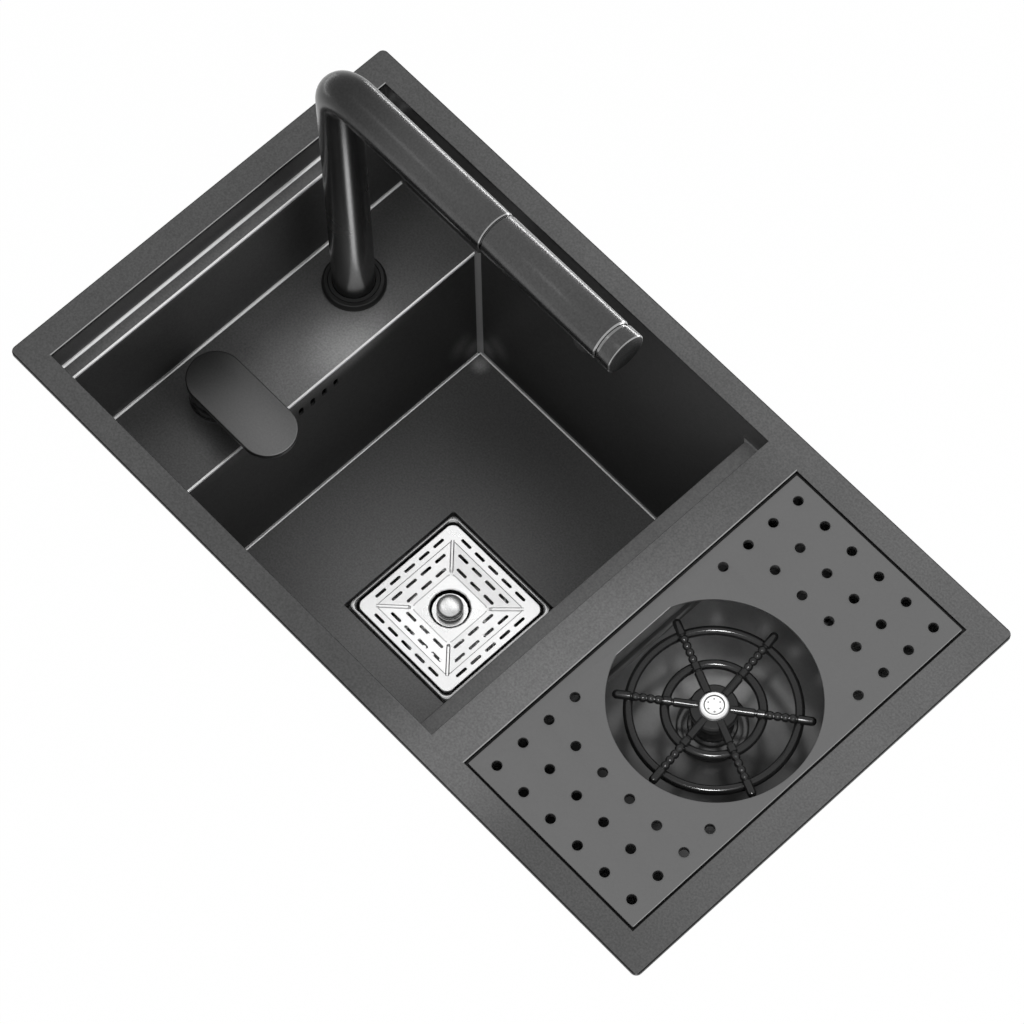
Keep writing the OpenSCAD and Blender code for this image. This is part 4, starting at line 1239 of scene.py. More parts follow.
    def trough_sheet(self) -> None:
        """Trough under the drip tray, with the shelf that carries the tray."""
        x0, x1, y = self.trough
        sx0, sx1, sy = self.shelf
        z, r = self.trough_z, 4.0
        loops = [
            rounded(sx0, -sy, sx1, sy, 3.0, 0.0), rounded(x0 - 0.8, -y - 0.8, x1 + 0.8, y + 0.8, 3.0, 0.0),
            rounded(x0 - 0.2, -y - 0.2, x1 + 0.2, y + 0.2, 2.6, -0.3), rounded(x0, -y, x1, y, 2.4, -1.0),
        ]
        for turn in (0, 30, 60, 90):
            a = math.radians(turn)
            inset = r - r * math.cos(a)
            loops.append(rounded(x0 + inset, -y + inset, x1 - inset, y - inset, max(0.8, 5.0 - inset),
                                 z + r - r * math.sin(a)))
        shape = Shape()
        floor = shape.bm.faces.new(shape.skin(loops)[-1])
        bmesh.ops.recalc_face_normals(shape.bm, faces=shape.bm.faces)
        if floor.normal.z < 0:
            bmesh.ops.reverse_faces(shape.bm, faces=shape.bm.faces)
        knife = Shape()
        for hx, hy, hr in (self.shank_hole, self.outlet_hole):
            knife.loft([circle(hx, hy, hr, level, 48) for level in (z - 5, z + 5)])
        sheet = sheeted(settled(shape.bm), self.sheet_t, knife)
        # Painted shade: darker on the fillet round the trough's floor, darker still on the up-facing shelf
        # under the tray.
        paint_light_and_shade(sheet, lambda c, face: -0.6 if c.z < z + r and 0.1 < abs(face.normal.z) < 0.98
             else -0.85 if c.z > z + 20.0 and face.normal.z > 0.9 else 0.0)
        dress("trough_sheet", sheet, TROUGH_STEEL, "sink", ["tray_shelf", "trough_walls", "trough_floor"])

    def build(self) -> None:
        """Builds the sheet metal."""
        self.rim()
        self.bowl()
        self.trough_sheet()
        repaint(PAD_RUBBER, "sound_pads")


@dataclass
class Fixings:
    """Clips with their screws, and the overflow housing."""

    clip_x: tuple[float, float] = (-207.4, 30.9)
    wall_y: float = 140.0
    plate_z: Flat = (-58.0, -36.0)
    arm_z: Flat = (-46.0, -44.0)
    clip_w: float = 18.0
    clip_t: float = 2.0
    clip_out: float = 14.0
    screw_r: float = 2.0
    screw_z: Flat = (-58.0, -34.0)
    foot: Flat = (4.0, 2.0)
    housing_x: Flat = (-189.0, -175.0)
    housing_y: Flat = (-25.0, 23.0)
    housing_z: Flat = (-145.0, -118.0)
    spigot: tuple[float, float, float] = (5.0, 3.5, -161.0)
    spigot_at: Flat = (-183.5, -1.0)

    def _row(self, patterns: Patterns, mesh: bpy.types.Mesh, finish: Finish) -> bpy.types.Mesh:
        """Copies a mesh, made at x = y = 0, to the three places in front and the three behind."""
        x0, x1 = (x * MM for x in self.clip_x)
        middle = (x0 + x1) / 2
        front = patterns.along_line.grow(
            mesh, Count=3, Start=(x0 - middle, -self.wall_y * MM, 0.0), Step=((x1 - x0) / 2, 0.0, 0.0),
            Material=finish.material(),
        )
        return patterns.round_axis.grow(
            front, Count=2, First_Angle=0.0, Axis=(middle, 0.0, 0.0), Material=finish.material()
        )

    def clips(self, patterns: Patterns) -> None:
        """Angle clips with a slotted arm, and their screws."""
        z0, z1 = self.plate_z
        a0, a1 = self.arm_z
        half, t, out = self.clip_w / 2, self.clip_t, self.clip_out
        bracket = Shape()
        side = [(0.0, z0), (0.0, z1), (-t, z1), (-t, a1), (-out, a1), (-out, a0), (-t, a0), (-t, z0)]
        bracket.loft([[(x, y, z) for y, z in side] for x in (-half, half)])
        hole = Shape()
        hole.loft([circle(0.0, -out / 2 - t / 2, self.screw_r + 0.02, z, 24) for z in (a0 - 3, a1 + 3)])
        body = cut(bracket.mesh(), hole.mesh())
        dress("clip_set", self._row(patterns, body, ZINC), ZINC, "sink", ["clip_brackets"])
        low, high = self.screw_z
        foot_r, foot_h = self.foot
        screw = Shape()
        r = self.screw_r
        screw.lathe(
            [(0.0, low), (r * 0.7, low)] + thread(r, low + 0.6, high - 0.4, 1.0, 0.3)
            + [(foot_r - 0.5, high), (foot_r, high + 0.4), (foot_r, high + foot_h - 0.4),
               (foot_r - 0.4, high + foot_h), (0.0, high + foot_h)],
            centre=(0.0, -out / 2 - t / 2, 0.0), steps=20,
        )
        dress("clip_screw_set", self._row(patterns, screw.mesh(), ZINC), ZINC, "sink", ["clip_screws"])

    def overflow(self, patterns: Patterns) -> None:
        """Overflow housing with ribs and a barbed spigot."""
        (x0, x1), (y0, y1), (z0, z1) = self.housing_x, self.housing_y, self.housing_z
        r, wall = 3.0, 2.0
        shell = Shape()
        loops = []
        for x, inset, corner in (
            (x1, 0.0, r), (x0 + 1.5, 0.0, r), (x0 + 0.4, 0.5, r - 0.25), (x0, 1.6, r - 0.8),
            (x0 + wall, wall + 0.6, 1.5), (x1, wall, 1.5),
        ):
            flat = rounded(y0 + inset, z0 + inset, y1 - inset, z1 - inset, corner, 0.0)
            loops.append([(x, a, b) for a, b, _ in flat])
        outside, inside = shell.skin(loops[:4]), shell.skin(loops[4:])
        shell.bm.faces.new(outside[-1])
        shell.bm.faces.new(inside[0])
        shell.bridge(inside[1], outside[0])
        cx, cy = self.spigot_at
        out_r, in_r, low = self.spigot
        profile: list[Flat] = [(in_r, z0 + 0.5), (in_r, low), (out_r - 0.6, low)]
        for i in range(4):
            base = low + 1.0 + i * 3.2
            profile += [(out_r, base + 1.8), (out_r - 0.5, base + 2.4)]
        profile += [(out_r - 0.5, z0 + 0.5)]
        shell.lathe(profile, centre=(cx, cy, 0.0), steps=36, closed=True)
        rib = Shape()
        rib.box((-0.7, -0.8, z0 + 1.5), (0.5, 0.8, z1 - 1.5))
        ribs = patterns.along_line.grow(
            rib.mesh(), Count=4, Start=(x0 * MM, (y0 + 9) * MM, 0.0),
            Step=(0.0, (y1 - y0 - 18) / 3 * MM, 0.0), Material=PLASTIC.material(),
        )
        dress("overflow_box", joined(shell.mesh(), ribs), PLASTIC, "sink", ["overflow_housing"])

    def build(self, patterns: Patterns) -> None:
        """Builds the fixings."""
        self.clips(patterns)
        self.overflow(patterns)


@dataclass
class Upright:
    """Pieces that share an upright axis."""

    x: float
    y: float

    def turned(self, profile: Profile, steps: int = 72, closed: bool = True) -> bpy.types.Mesh:
        """Turns a profile about the axis.

        Args:
            profile: points of radius and height.
            steps: number of points round a ring.
            closed: whether the last point joins the first, for a ring with a bore.

        Returns:
            The mesh, in metres.
        """
        shape = Shape()
        shape.lathe(profile, centre=(self.x, self.y, 0.0), steps=steps, closed=closed)
        return shape.mesh()

    def repeated(
        self, patterns: Patterns, shape: Shape, count: int, finish: Finish, first: float = 0.0
    ) -> bpy.types.Mesh:
        """Copies a shape round the axis.

        Args:
            patterns: the Geometry Nodes trees.
            shape: the shape, as it lies when the axis goes through x = y = 0.
            count: number of copies.
            finish: their finish.
            first: turn of the first copy, in radians.

        Returns:
            The mesh of all copies.
        """
        return patterns.round_axis.grow(
            shape.mesh(), Count=count, First_Angle=first, Axis=(self.x * MM, self.y * MM, 0.0),
            Material=finish.material(),
        )

    def nut(self, bore: float, corner_r: float, ends: Flat) -> bpy.types.Mesh:
        """Makes a hexagonal lock nut with chamfered corners.

        Args:
            bore: radius of the bore.
            corner_r: radius of the corners.
            ends: heights of the underside and the top.

        Returns:
            The mesh, in metres.
        """
        x, y, (low, high) = self.x, self.y, ends
        flat_r = corner_r * math.cos(math.pi / 6)
        drop = (corner_r - flat_r) * 0.6
        shape = Shape()
        shape.loft([
            circle(x, y, bore, high, 72), circle(x, y, bore, low, 72), hexagon(x, y, corner_r, flat_r, low),
            hexagon(x, y, corner_r, corner_r, low + drop), hexagon(x, y, corner_r, corner_r, high - drop),
            hexagon(x, y, corner_r, flat_r, high),
        ], closed=True)
        return shape.mesh()


@dataclass
class Drain(Upright):
    """Drain cup, cover, knob and strainer basket."""

    x: float = -50.0
    y: float = -4.5
    floor_z: float = -252.0
    pan_z: float = -260.0
    cup_r: float = 40.0
    cup_wall: float = 1.5
    cup_z: float = -308.0
    tail_r: float = 23.9
    tail_in: float = 21.4
    tail_z: float = -331.5
    nut_r: float = 45.0
    nut_z: Flat = (-272.5, -264.5)
    half: float = 48.0
    metal: float = 0.8
    dish_r: float = 13.5
    dish_z: float = -257.0
    stem_r: float = 3.0
    knob_r: float = 9.0
    knob_z: Flat = (-256.7, -248.7)
    basket_r: float = 36.0
    basket_z: Flat = (-292.0, -266.0)
    rows: tuple[float, ...] = (38.9, 30.2, 22.6)
    counts: tuple[int, ...] = (5, 4, 3)
    pitch: float = 12.96
    slot: Flat = (9.1, 2.2)

    def cup(self, patterns: Patterns) -> None:
        """Drain cup with its flange and threaded tail, and the lock nut with its lugs."""
        r, w, top = self.cup_r, self.cup_wall, self.pan_z
        base = self.cup_z - w
        profile = [
            (r - w, top + w), (r + 2.4, top + w), (r + 3.0, top + w * 0.5), (r + 3.0, top), (r, top),
            *thread(r, top - 1.0, top - 22.0, 2.0, 0.4),
            (r, top - 24.0), (r, base + 2.0), (r - 2.0, base), (self.tail_r + 1.2, base),
            (self.tail_r, base - 1.2), *thread(self.tail_r, base - 2.0, self.tail_z + 1.0, 2.2, 0.6),
            (self.tail_r - 1.0, self.tail_z), (self.tail_in, self.tail_z), (self.tail_in, base),
            (self.tail_in + 1.0, self.cup_z), (r - w - 1.5, self.cup_z), (r - w, self.cup_z + 1.5),
        ]
        dress("drain_cup", self.turned(profile, 96), POLISHED, "sink",
              ["drain_body", "drain_base", "drain_tail"])
        low, high = self.nut_z
        out = self.nut_r - 1.6
        ring = self.turned([(r, high), (r, low), (out - 1.0, low), (out, low + 1.0), (out, high - 1.0),
                            (out - 0.4, high)], 96)
        lug = Shape()
        lug.box((self.nut_r - 3.0, -3.0, low + 0.6), (self.nut_r, 3.0, high - 0.6))
        lugs = self.repeated(patterns, lug, 12, PLASTIC, 0.1)
        dress("drain_nut", joined(ring, lugs), PLASTIC, "sink", ["drain_lock_nut"])

    def cover(self, patterns: Patterns) -> None:
        """Pressed square cover: beaded frame, slotted sloping sides, flat middle and dish."""
        z = self.floor_z
        steps, sides = 7, 4

        def square(half: float, corner: float, height: float) -> list[Point]:
            """A level square with round corners round the drain's axis."""
            return rounded(self.x - half, self.y - half, self.x + half, self.y + half, corner, height,
                           steps, sides)

        def disc(radius: float, height: float) -> list[Point]:
            """A circle whose points match the squares'."""
            loop = []
            for px, py, _ in square(17.5, 4.0, height):
                turn = math.atan2(py - self.y, px - self.x)
                loop.append((self.x + radius * math.cos(turn), self.y + radius * math.sin(turn), height))
            return loop

        h = self.half
        t = self.metal
        sink = z - 1.9
        dish, stem = self.dish_r, self.stem_r + 0.3
        top = [
            square(h, 4.0, z - 7.7), square(h, 4.0, z - 1.4), square(h - 0.25, 4.0, z - 0.6),
            square(h - 0.8, 4.4, z - 0.1), square(h - 1.4, 5.0, z), square(h - 2.0, 5.4, z - 0.1),
            square(h - 2.6, 6.0, z - 0.6), square(h - 2.8, 6.0, z - 1.8), square(h - 4.0, 5.4, z - 1.8),
            square(h - 4.2, 5.4, z - 0.8), square(h - 4.6, 5.4, z - 0.5), square(34.6, 3.0, z - 0.5),
            square(34.1, 3.0, z - 0.75), square(18.6, 4.0, sink - 0.1), square(17.8, 4.0, sink - 0.2),
            disc(dish + 0.8, sink - 0.2), disc(dish + 0.1, sink - 0.5), disc(dish - 0.2, sink - 1.1),
            disc(dish - 0.6, self.dish_z + 0.6), disc(dish - 1.6, self.dish_z), disc(stem, self.dish_z),
        ]
        under = [
            disc(stem, self.dish_z - t), disc(dish - 0.9, self.dish_z - t),
            disc(dish + 0.5, self.dish_z + 0.4), disc(dish + 0.6, sink - 1.0),
            square(17.8, 4.0, sink - 0.2 - t), square(18.6, 4.0, sink - 0.1 - t),
            square(34.1, 3.0, z - 0.75 - t), square(h - 5.8, 4.0, z - 0.5 - t), square(h - 5.9, 4.0, z - 2.6),
            square(h - 2.4, 4.0, z - 2.6), square(h - 1.4, 3.0, z - 1.5), square(h - 1.6, 3.0, z - 7.7),
        ]
        shape = Shape()
        shape.loft(top + under, closed=True)
        ridge = ((-1.5, -0.5), (1.5, -0.5), (1.2, 0.0), (0.6, 0.25), (-0.6, 0.25), (-1.2, 0.0))
        slope = ((18.0, sink - 0.2), (19.5, sink + 0.35), (33.0, z - 0.45), (34.3, z - 0.45))
        rib = Shape()
        rib.loft([[(reach * math.sqrt(2), side, height + up) for side, up in ridge]
                  for reach, height in slope])
        ribs = self.repeated(patterns, rib, 4, COVER_STEEL, math.pi / 4)
        whole = joined(cut(shape.mesh(), self.slots()), ribs)

        def painted_shade(c: Vector, face: bpy.types.MeshPolygon) -> float:
            """Painted shade, black in the gutter and on the dish wall and grey in the creases, and a painted
            highlight on the bead.
            """
            across, along = abs(c.x - self.x), abs(c.y - self.y)
            inner = h - 9.4
            out = inner + math.hypot(max(across - inner, 0.0), max(along - inner, 0.0))
            level, away, side = z - c.z, math.hypot(across, along), max(across, along)
            in_dish = dish - 1.7 < away < dish - 0.05 and 2.2 < level < 5.2 and abs(face.normal.z) < 0.95
            if in_dish or h - 4.15 < out < h - 2.7 and 0.9 < level < 2.2:
                return -1.0
            if 34.1 < side < 34.6 and level < 1.0 or 17.8 < side < 18.5 and 1.8 < level < 2.3:
                return -0.4
            return 0.8 if out > h - 2.65 and level < 1.5 else 0.0

        paint_light_and_shade(whole, painted_shade)
        dress("cover_plate", whole, COVER_STEEL, "cover", ["drain_cover"], sharp=3.0)

    def slots(self) -> bpy.types.Mesh:
        """Makes the shapes that cut the cover's slots: rows on each of its four sides."""
        knife = Shape()
        length, width = self.slot
        for row, count in zip(self.rows, self.counts):
            for i in range(count):
                along = (i - (count - 1) / 2) * self.pitch
                for quarter in range(4):
                    spin = Matrix.Rotation(quarter * math.pi / 2, 2)
                    flat = rounded(along - length / 2, row - width / 2, along + length / 2, row + width / 2,
                                   width / 2 - 0.02, 0.0)
                    spots = [spin @ Vector((a, b)) + Vector((self.x, self.y)) for a, b, _ in flat]
                    knife.loft([[(*spot, level) for spot in spots]
                                for level in (self.floor_z - 6, self.floor_z + 3)])
        return knife.mesh()

    def knob(self) -> None:
        """Domed knob with its stem."""
        low, high = self.knob_z
        r, foot = self.knob_r, self.basket_z[0] + 1.0
        profile = [
            (0.0, high), (3.0, high - 0.1), (5.6, high - 0.35), (7.4, high - 0.8), (8.3, high - 1.3),
            (8.8, high - 2.2), (r, high - 3.4), (r, low + 2.2), (r - 0.8, low + 1.6), (r - 1.4, low + 0.4),
            (r - 2.2, low), (self.stem_r, low), (self.stem_r, foot), (0.0, foot),
        ]
        dress("pull_knob", self.turned(profile, 64, closed=False), COVER_STEEL, "strainer", ["drain_knob"])

    def basket(self) -> None:
        """Strainer basket with its perforated floor and rolled rim."""
        low, high = self.basket_z
        r = self.basket_r
        wall = self.turned([
            (r, low + 1.0), (r - 0.6, low + 0.3), (r - 2.0, low), (r - 4.0, low), (r - 4.0, low + 1.0),
            (r - 1.2, low + 1.2), (r - 1.0, high - 0.8), (r - 0.5, high), (r, high - 0.8)])
        holes = [circle(self.x, self.y, r - 3.0, 0.0, 72)]
        for share, count in ((0.24, 8), (0.42, 12), (0.6, 18), (0.78, 24)):
            holes += [circle(x, y, 1.6, 0.0, 12) for x, y, _ in circle(self.x, self.y, share * r, 0.0, count)]
        base = plate(holes, low, low + 1.0, 0.15)
        dress("basket", joined(wall, base), POLISHED, "strainer", ["strainer_basket"])

    def build(self, patterns: Patterns) -> None:
        """Builds the drain."""
        self.cup(patterns)
        self.cover(patterns)
        self.knob()
        self.basket()
        repaint(RUBBER, "drain_gasket")


@dataclass
class Tap(Upright):
    """Lift-down pull-out tap."""

    x: float = -211.5
    y: float = 65.5
    axis_z: float = 145.0
    tube_r: float = 14.0
    tube_in: float = 12.5
    bend_r: float = 18.0
    riser_z: float = -193.1
    lip_r: float = 15.5
    lip_h: float = 4.0
    spray_x: Flat = (-74.0, 34.5)
    groove_x: Flat = (22.3, 24.5)
    platform_z: float = -109.0
    ring_r: float = 21.0
    ring_h: float = 5.0
    bore_r: float = 14.3
    sleeve_r: float = 16.5
    sleeve_z: float = -170.5
    nut_r: float = 21.5
    nut_z: Flat = (-121.5, -113.5)
    collar_z: Flat = (-188.8, -170.8)
    nozzle_x: float = 4.5
    nozzle_r: float = 9.5
    nozzle_z: float = 122.0

    def spout(self) -> None:
        """Riser, bend and spout swept in one bent tube, with its inside and the lip for the collar."""
        end = self.spray_x[0]
        side, down = Vector((0, 1, 0)), Vector((0, 0, 1))
        corner = Vector((self.x + self.bend_r, self.y, self.axis_z - self.bend_r))
        path = [(Vector((self.x, self.y, z)), down) for z in (self.riser_z, corner.z)]
        for i in range(1, 17):
            t = math.radians(90 * i / 16)
            spot = corner + Vector((-math.cos(t), 0, math.sin(t))) * self.bend_r
            path.append((spot, Vector((math.sin(t), 0, math.cos(t)))))
        tip, ahead = Vector((end, self.y, self.axis_z)), Vector((1, 0, 0))
        path.append((tip, ahead))

        def section(spot: Vector, way: Vector, radius: float) -> list[Vector]:
            """One ring round the tube's middle line."""
            up = side.cross(way)
            return [spot + (side * math.cos(a) + up * math.sin(a)) * radius
                    for a in (2 * math.pi * i / 64 for i in range(64))]

        outer = [section(spot, way, self.tube_r) for spot, way in path]
        inner = [section(spot, way, self.tube_in) for spot, way in reversed(path)]
        lip = [section(Vector((self.x, self.y, self.riser_z + a)), down, r) for a, r in (
            (0.0, self.lip_r - 0.5), (0.5, self.lip_r), (self.lip_h - 0.5, self.lip_r),
            (self.lip_h, self.lip_r - 0.5), (self.lip_h, self.tube_r))]
        rounded_tip = [section(tip - ahead * back, ahead, self.tube_r - less)
                       for back, less in ((1.5, 0.0), (0.7, 0.35), (0.5, 1.1), (0.0, 1.2))]
        shape = Shape()
        shape.loft(lip + outer[1:-1] + rounded_tip + inner, closed=True)
        tube = shape.mesh()
        self._paint_joint_highlight(tube, end - 1.5, end - 0.7)
        dress("spout_tube", tube, TAP_STEEL, "spout", ["spout_pipe"])
        repaint(PLASTIC, "spray_dock")

    @staticmethod
    def _paint_joint_highlight(mesh: bpy.types.Mesh, low: float, high: float) -> None:
        """Paints a highlight on the bevel of the tube between two places along X.

        Args:
            mesh: the tube.
            low: lowest x of the bevel.
            high: highest x of the bevel.
        """
        paint_light_and_shade(mesh, lambda c, face: 1.0 if low < c.x < high and 0.1 < abs(face.normal.x) < 0.97 else 0.0)

    def fixed(self) -> None:
        """Cover ring, threaded sleeve and lock nut."""
        z, top = self.platform_z, self.platform_z + self.ring_h
        bore, out, r = self.bore_r, self.ring_r, self.sleeve_r
        ring = self.turned([
            (bore, z), (out, z), (out, z + 2.4), (out - 0.4, z + 3.2), (out - 1.0, top - 0.4),
            (out - 1.6, top), (17.3, top), (16.7, top - 0.5), (16.7, top - 1.6), (bore, top - 1.6)], 96)
        dress("tap_cover_ring", ring, DARK_RING, "sink", ["tap_escutcheon"])
        repaint(RUBBER, "tap_seal", "platform_washers")
        sleeve = self.turned([
            (bore, z), (r, z), (r, z - 1.5), *thread(r, z - 2.0, z - 45.0, 1.5, 0.5), (r, z - 46.0),
            (r, self.sleeve_z + 1.0), (r - 0.8, self.sleeve_z), (bore, self.sleeve_z)])
        dress("guide_sleeve", sleeve, BRASS, "sink", ["tap_sleeve"])
        dress("guide_nut", self.nut(r, self.nut_r, self.nut_z), BRASS, "sink", ["tap_lock_nut"])

    def collar(self) -> None:
        """Sliding collar with grip grooves."""
        low, high = self.collar_z
        r = self.sleeve_r
        profile: list[Flat] = [(self.bore_r, high), (self.bore_r, low), (r - 0.8, low), (r, low + 0.8)]
        for i in range(4):
            base = low + 3.0 + i * 3.2
            profile += [(r, base), (r - 0.6, base + 0.5), (r - 0.6, base + 1.4), (r, base + 1.9)]
        profile += [(r, high - 0.8), (r - 0.8, high)]
        dress("slide_collar", self.turned(profile), PLASTIC, "lift_carriage", ["lift_collar"])

    def spray(self, patterns: Patterns) -> None:
        """Spray head: shell with its nozzle, stem with O-rings, and the selector ring."""
        x0, x1 = self.spray_x
        g0, g1 = self.groove_x
        r = self.tube_r
        at = (0.0, self.y, self.axis_z)
        shell = Shape()
        shell.lathe([
            (r - 2.5, x0 + 0.3), (r - 1.2, x0 + 0.3), (r - 1.1, x0 + 0.8), (r - 0.35, x0 + 1.0),
            (r, x0 + 1.8), (r, g0 - 1.1), (r - 0.3, g0 - 0.4), (r - 0.8, g0), (r - 2.5, g0),
        ], centre=at, axis=Axis.X, steps=96, closed=True)
        hole = Shape()
        hole.loft([circle(self.nozzle_x, self.y, self.nozzle_r + 0.05, z, 64)
                   for z in (self.axis_z, self.axis_z - 30)])
        body = cut(shell.mesh(), hole.mesh())
        self._paint_joint_highlight(body, g0 - 1.1, g0)
        dress("spray_tube", body, TAP_STEEL, "spray_head", ["spray_shell"])
        nozzle = Upright(self.nozzle_x, self.y)
        low, n, top = self.nozzle_z, self.nozzle_r, self.axis_z - 2.0
        disc = nozzle.turned([
            (0.0, low + 0.8), (n - 2.2, low + 0.8), (n - 1.8, low), (n - 0.6, low), (n, low + 0.8), (n, top),
            (0.0, top),
        ], 64, closed=False)
        rows = []
        for radius, count in ((2.2, 6), (4.4, 12), (6.6, 18)):
            nub = Shape()
            nub.lathe([(0.0, low - 0.05), (0.3, low), (0.5, low + 0.4), (0.6, low + 1.0), (0.0, low + 1.0)],
                      centre=(radius, 0.0, 0.0), steps=10)
            rows.append(nozzle.repeated(patterns, nub, count, RUBBER))
        dress("spray_face", joined(disc, *rows), RUBBER, "spray_head", ["spray_nozzle"])
        stem = Shape()
        s0, s1, sr = x0 - 23.7, x0 + 0.3, 9.7
        profile: list[Flat] = [(5.0, s0), (sr - 0.8, s0), (sr, s0 + 0.8)]
        for base in (s0 + 4.0, s0 + 9.0):
            profile += [(sr, base), (sr - 1.0, base + 0.2), (sr - 0.9, base + 0.5), (sr - 0.1, base + 1.3),
                        (sr - 0.9, base + 2.1), (sr - 1.0, base + 2.4), (sr, base + 2.6)]
        profile += [(sr, s1), (11.5, s1), (11.5, s1 + 10.0), (5.0, s1 + 10.0)]
        stem.lathe(profile, centre=at, axis=Axis.X, steps=64, closed=True)
        dress("dock_stem", stem.mesh(), PLASTIC, "spray_head", ["spray_stem"])
        ring = Shape()
        ring.lathe([
            (0.0, g1 - 10.2), (11.2, g1 - 10.2), (11.2, g0 + 0.15), (12.4, g0 + 0.15), (12.4, g1 - 0.3),
            (12.8, g1), (r - 0.7, g1), (r - 0.2, g1 + 0.2), (r, g1 + 0.8), (r, x1 - 0.7),
            (r - 0.25, x1 - 0.2), (r - 0.8, x1), (0.0, x1),
        ], centre=at, axis=Axis.X, steps=96)

        def shine(c: Vector, face: bpy.types.MeshPolygon) -> float:
            """Painted highlight on the end face's rim, half as bright on the neck."""
            lean = abs(face.normal.x)
            if c.x > x1 - 0.7 and 0.2 < lean < 0.97:
                return 1.0
            return 0.5 if g0 + 0.2 < c.x < g1 - 0.1 and lean < 0.8 else 0.0

        selector = ring.mesh()
        paint_light_and_shade(selector, shine)
        dress("selector_ring", selector, TAP_STEEL, "selector", ["spray_selector"], sharp=25.0)

    def build(self, patterns: Patterns) -> None:
        """Builds the tap."""
        self.fixed()
        self.collar()
        self.spout()
        self.spray(patterns)


@dataclass
class Mixer(Upright):
    """Lever mixer on the platform."""

    x: float = -211.0
    y: float = -52.0
    platform_z: float = -109.0
    pivot_z: float = -105.5
    dome_r: float = 16.5
    ring_r: float = 18.5
    core_r: float = 9.0
    neck_r: float = 15.0
    neck_z: float = -150.5
    housing_r: float = 20.0
    housing_z: float = -186.5
    port_r: float = 5.0
    port_ring: float = 11.0
    port_deep: float = 12.0
    nut_r: float = 20.0
    nut_z: Flat = (-121.5, -113.5)
    hub_r: float = 17.5
    hub_z: Flat = (-97.5, -87.0)
    hub_hollow_r: float = 17.0
    lever_z: Flat = (-87.0, -82.0)
    lever_len: float = 49.5
    lever_w: float = 38.0

    def fixed(self) -> None:
        """Domed body, threaded neck with its valve housing, and lock nut."""
        z, neck, house = self.platform_z, self.neck_z, self.housing_r
        profile: list[Flat] = [(self.core_r, z), (self.ring_r, z), (self.ring_r, z + 1.9),
                               (self.ring_r - 0.6, z + 2.5)]
        start = math.asin((z + 2.5 - self.pivot_z) / self.dome_r)
        stop = math.acos(self.core_r / self.dome_r)
        for i in range(13):
            a = start + (stop - start) * i / 12
            profile.append((self.dome_r * math.cos(a), self.pivot_z + self.dome_r * math.sin(a)))
        dress("mixer_dome", self.turned(profile, 96), TAP_STEEL, "sink", ["mixer_base"])
        body = self.turned([
            (self.core_r, neck), (self.core_r, z), (self.neck_r, z), (self.neck_r, z - 1.0),
            *thread(self.neck_r, z - 1.5, neck + 2.0, 1.5, 0.5),
            (self.neck_r, neck + 1.0), (self.neck_r, neck), (house - 1, neck), (house, neck - 1),
            (house, neck - 8), (house - 0.8, neck - 8.8), (house - 0.8, neck - 11), (house, neck - 11.8),
            (house, self.housing_z + 1), (house - 1, self.housing_z), (0.0, self.housing_z),
        ], closed=False)
        ports = Shape()
        for x, y, _ in circle(self.x, self.y, self.port_ring, 0.0, 3):
            ports.loft([circle(x, y, self.port_r, level, 36)
                        for level in (self.housing_z - 3, self.housing_z + self.port_deep)])
        dress("mixer_valve", cut(body, ports.mesh()), BRASS, "sink", ["mixer_body"])
        dress("mixer_nut", self.nut(self.neck_r, self.nut_r, self.nut_z), BRASS, "sink", ["mixer_lock_nut"])
        repaint(BRASS, "mixer_rotor")

    def lever(self) -> None:
        """Lever with softly rounded edges, and the hub under it."""
        r = self.lever_w / 2
        low, high = self.lever_z
        edge, steps = 0.9, 24

        def stadium(inset: float, z: float) -> list[Point]:
            """The lever's outline, set in by a distance."""
            points = []
            for middle, start in ((self.x + self.lever_len, -math.pi / 2), (self.x, math.pi / 2)):
                for i in range(steps + 1):
                    a = start + math.pi * i / steps
                    points.append((middle + (r - inset) * math.cos(a), self.y + (r - inset) * math.sin(a), z))
            return points

        loops = [stadium(0.9, low), stadium(0.25, low + 0.25), stadium(0.0, low + 0.9)]
        for i in range(4):
            a = math.radians(30 * i)
            loops.append(stadium(edge - edge * math.cos(a), high - edge + edge * math.sin(a)))
        blade = Shape()
        blade.loft(loops)

        def shine(c: Vector, face: bpy.types.MeshPolygon) -> float:
            """Painted highlight on the upper edge of the lever's round end."""
            at_edge = c.z > high - edge and 0.1 < face.normal.z < 0.99
            at_end = c.x > self.x + self.lever_len - 4
            return 0.8 * max(0.0, face.normal.x) if at_edge and at_end else 0.0

        mesh = blade.mesh()
        paint_light_and_shade(mesh, shine)
        dress("lever_blade", mesh, LEVER_STEEL, "lever", ["lever_plate"], sharp=50.0)
        h0, h1 = self.hub_z
        hollow = self.hub_hollow_r
        a0, a1 = math.asin((h0 - self.pivot_z) / hollow), math.acos(3.5 / hollow)
        profile: list[Flat] = [(3.5, h1), (self.hub_r, h1), (self.hub_r, h0 + 0.5), (self.hub_r - 0.4, h0)]
        for i in range(11):
            a = a0 + (a1 - a0) * i / 10
            profile.append((hollow * math.cos(a), self.pivot_z + hollow * math.sin(a)))
        hole = Shape()
        hole.lathe([(0.0, self.x - 30), (1.5, self.x - 30), (1.5, self.x - 13.5), (0.0, self.x - 13.5)],
                   centre=(0.0, self.y, self.pivot_z + 13.0), axis=Axis.X, steps=20)
        dress("lever_cap", cut(self.turned(profile, 96), hole.mesh()), TAP_STEEL, "lever", ["lever_hub"])
        repaint(RUBBER, "lever_plug")
        repaint(POLISHED, "lever_stem")

    def build(self) -> None:
        """Builds the mixer."""
        self.fixed()
        self.lever()


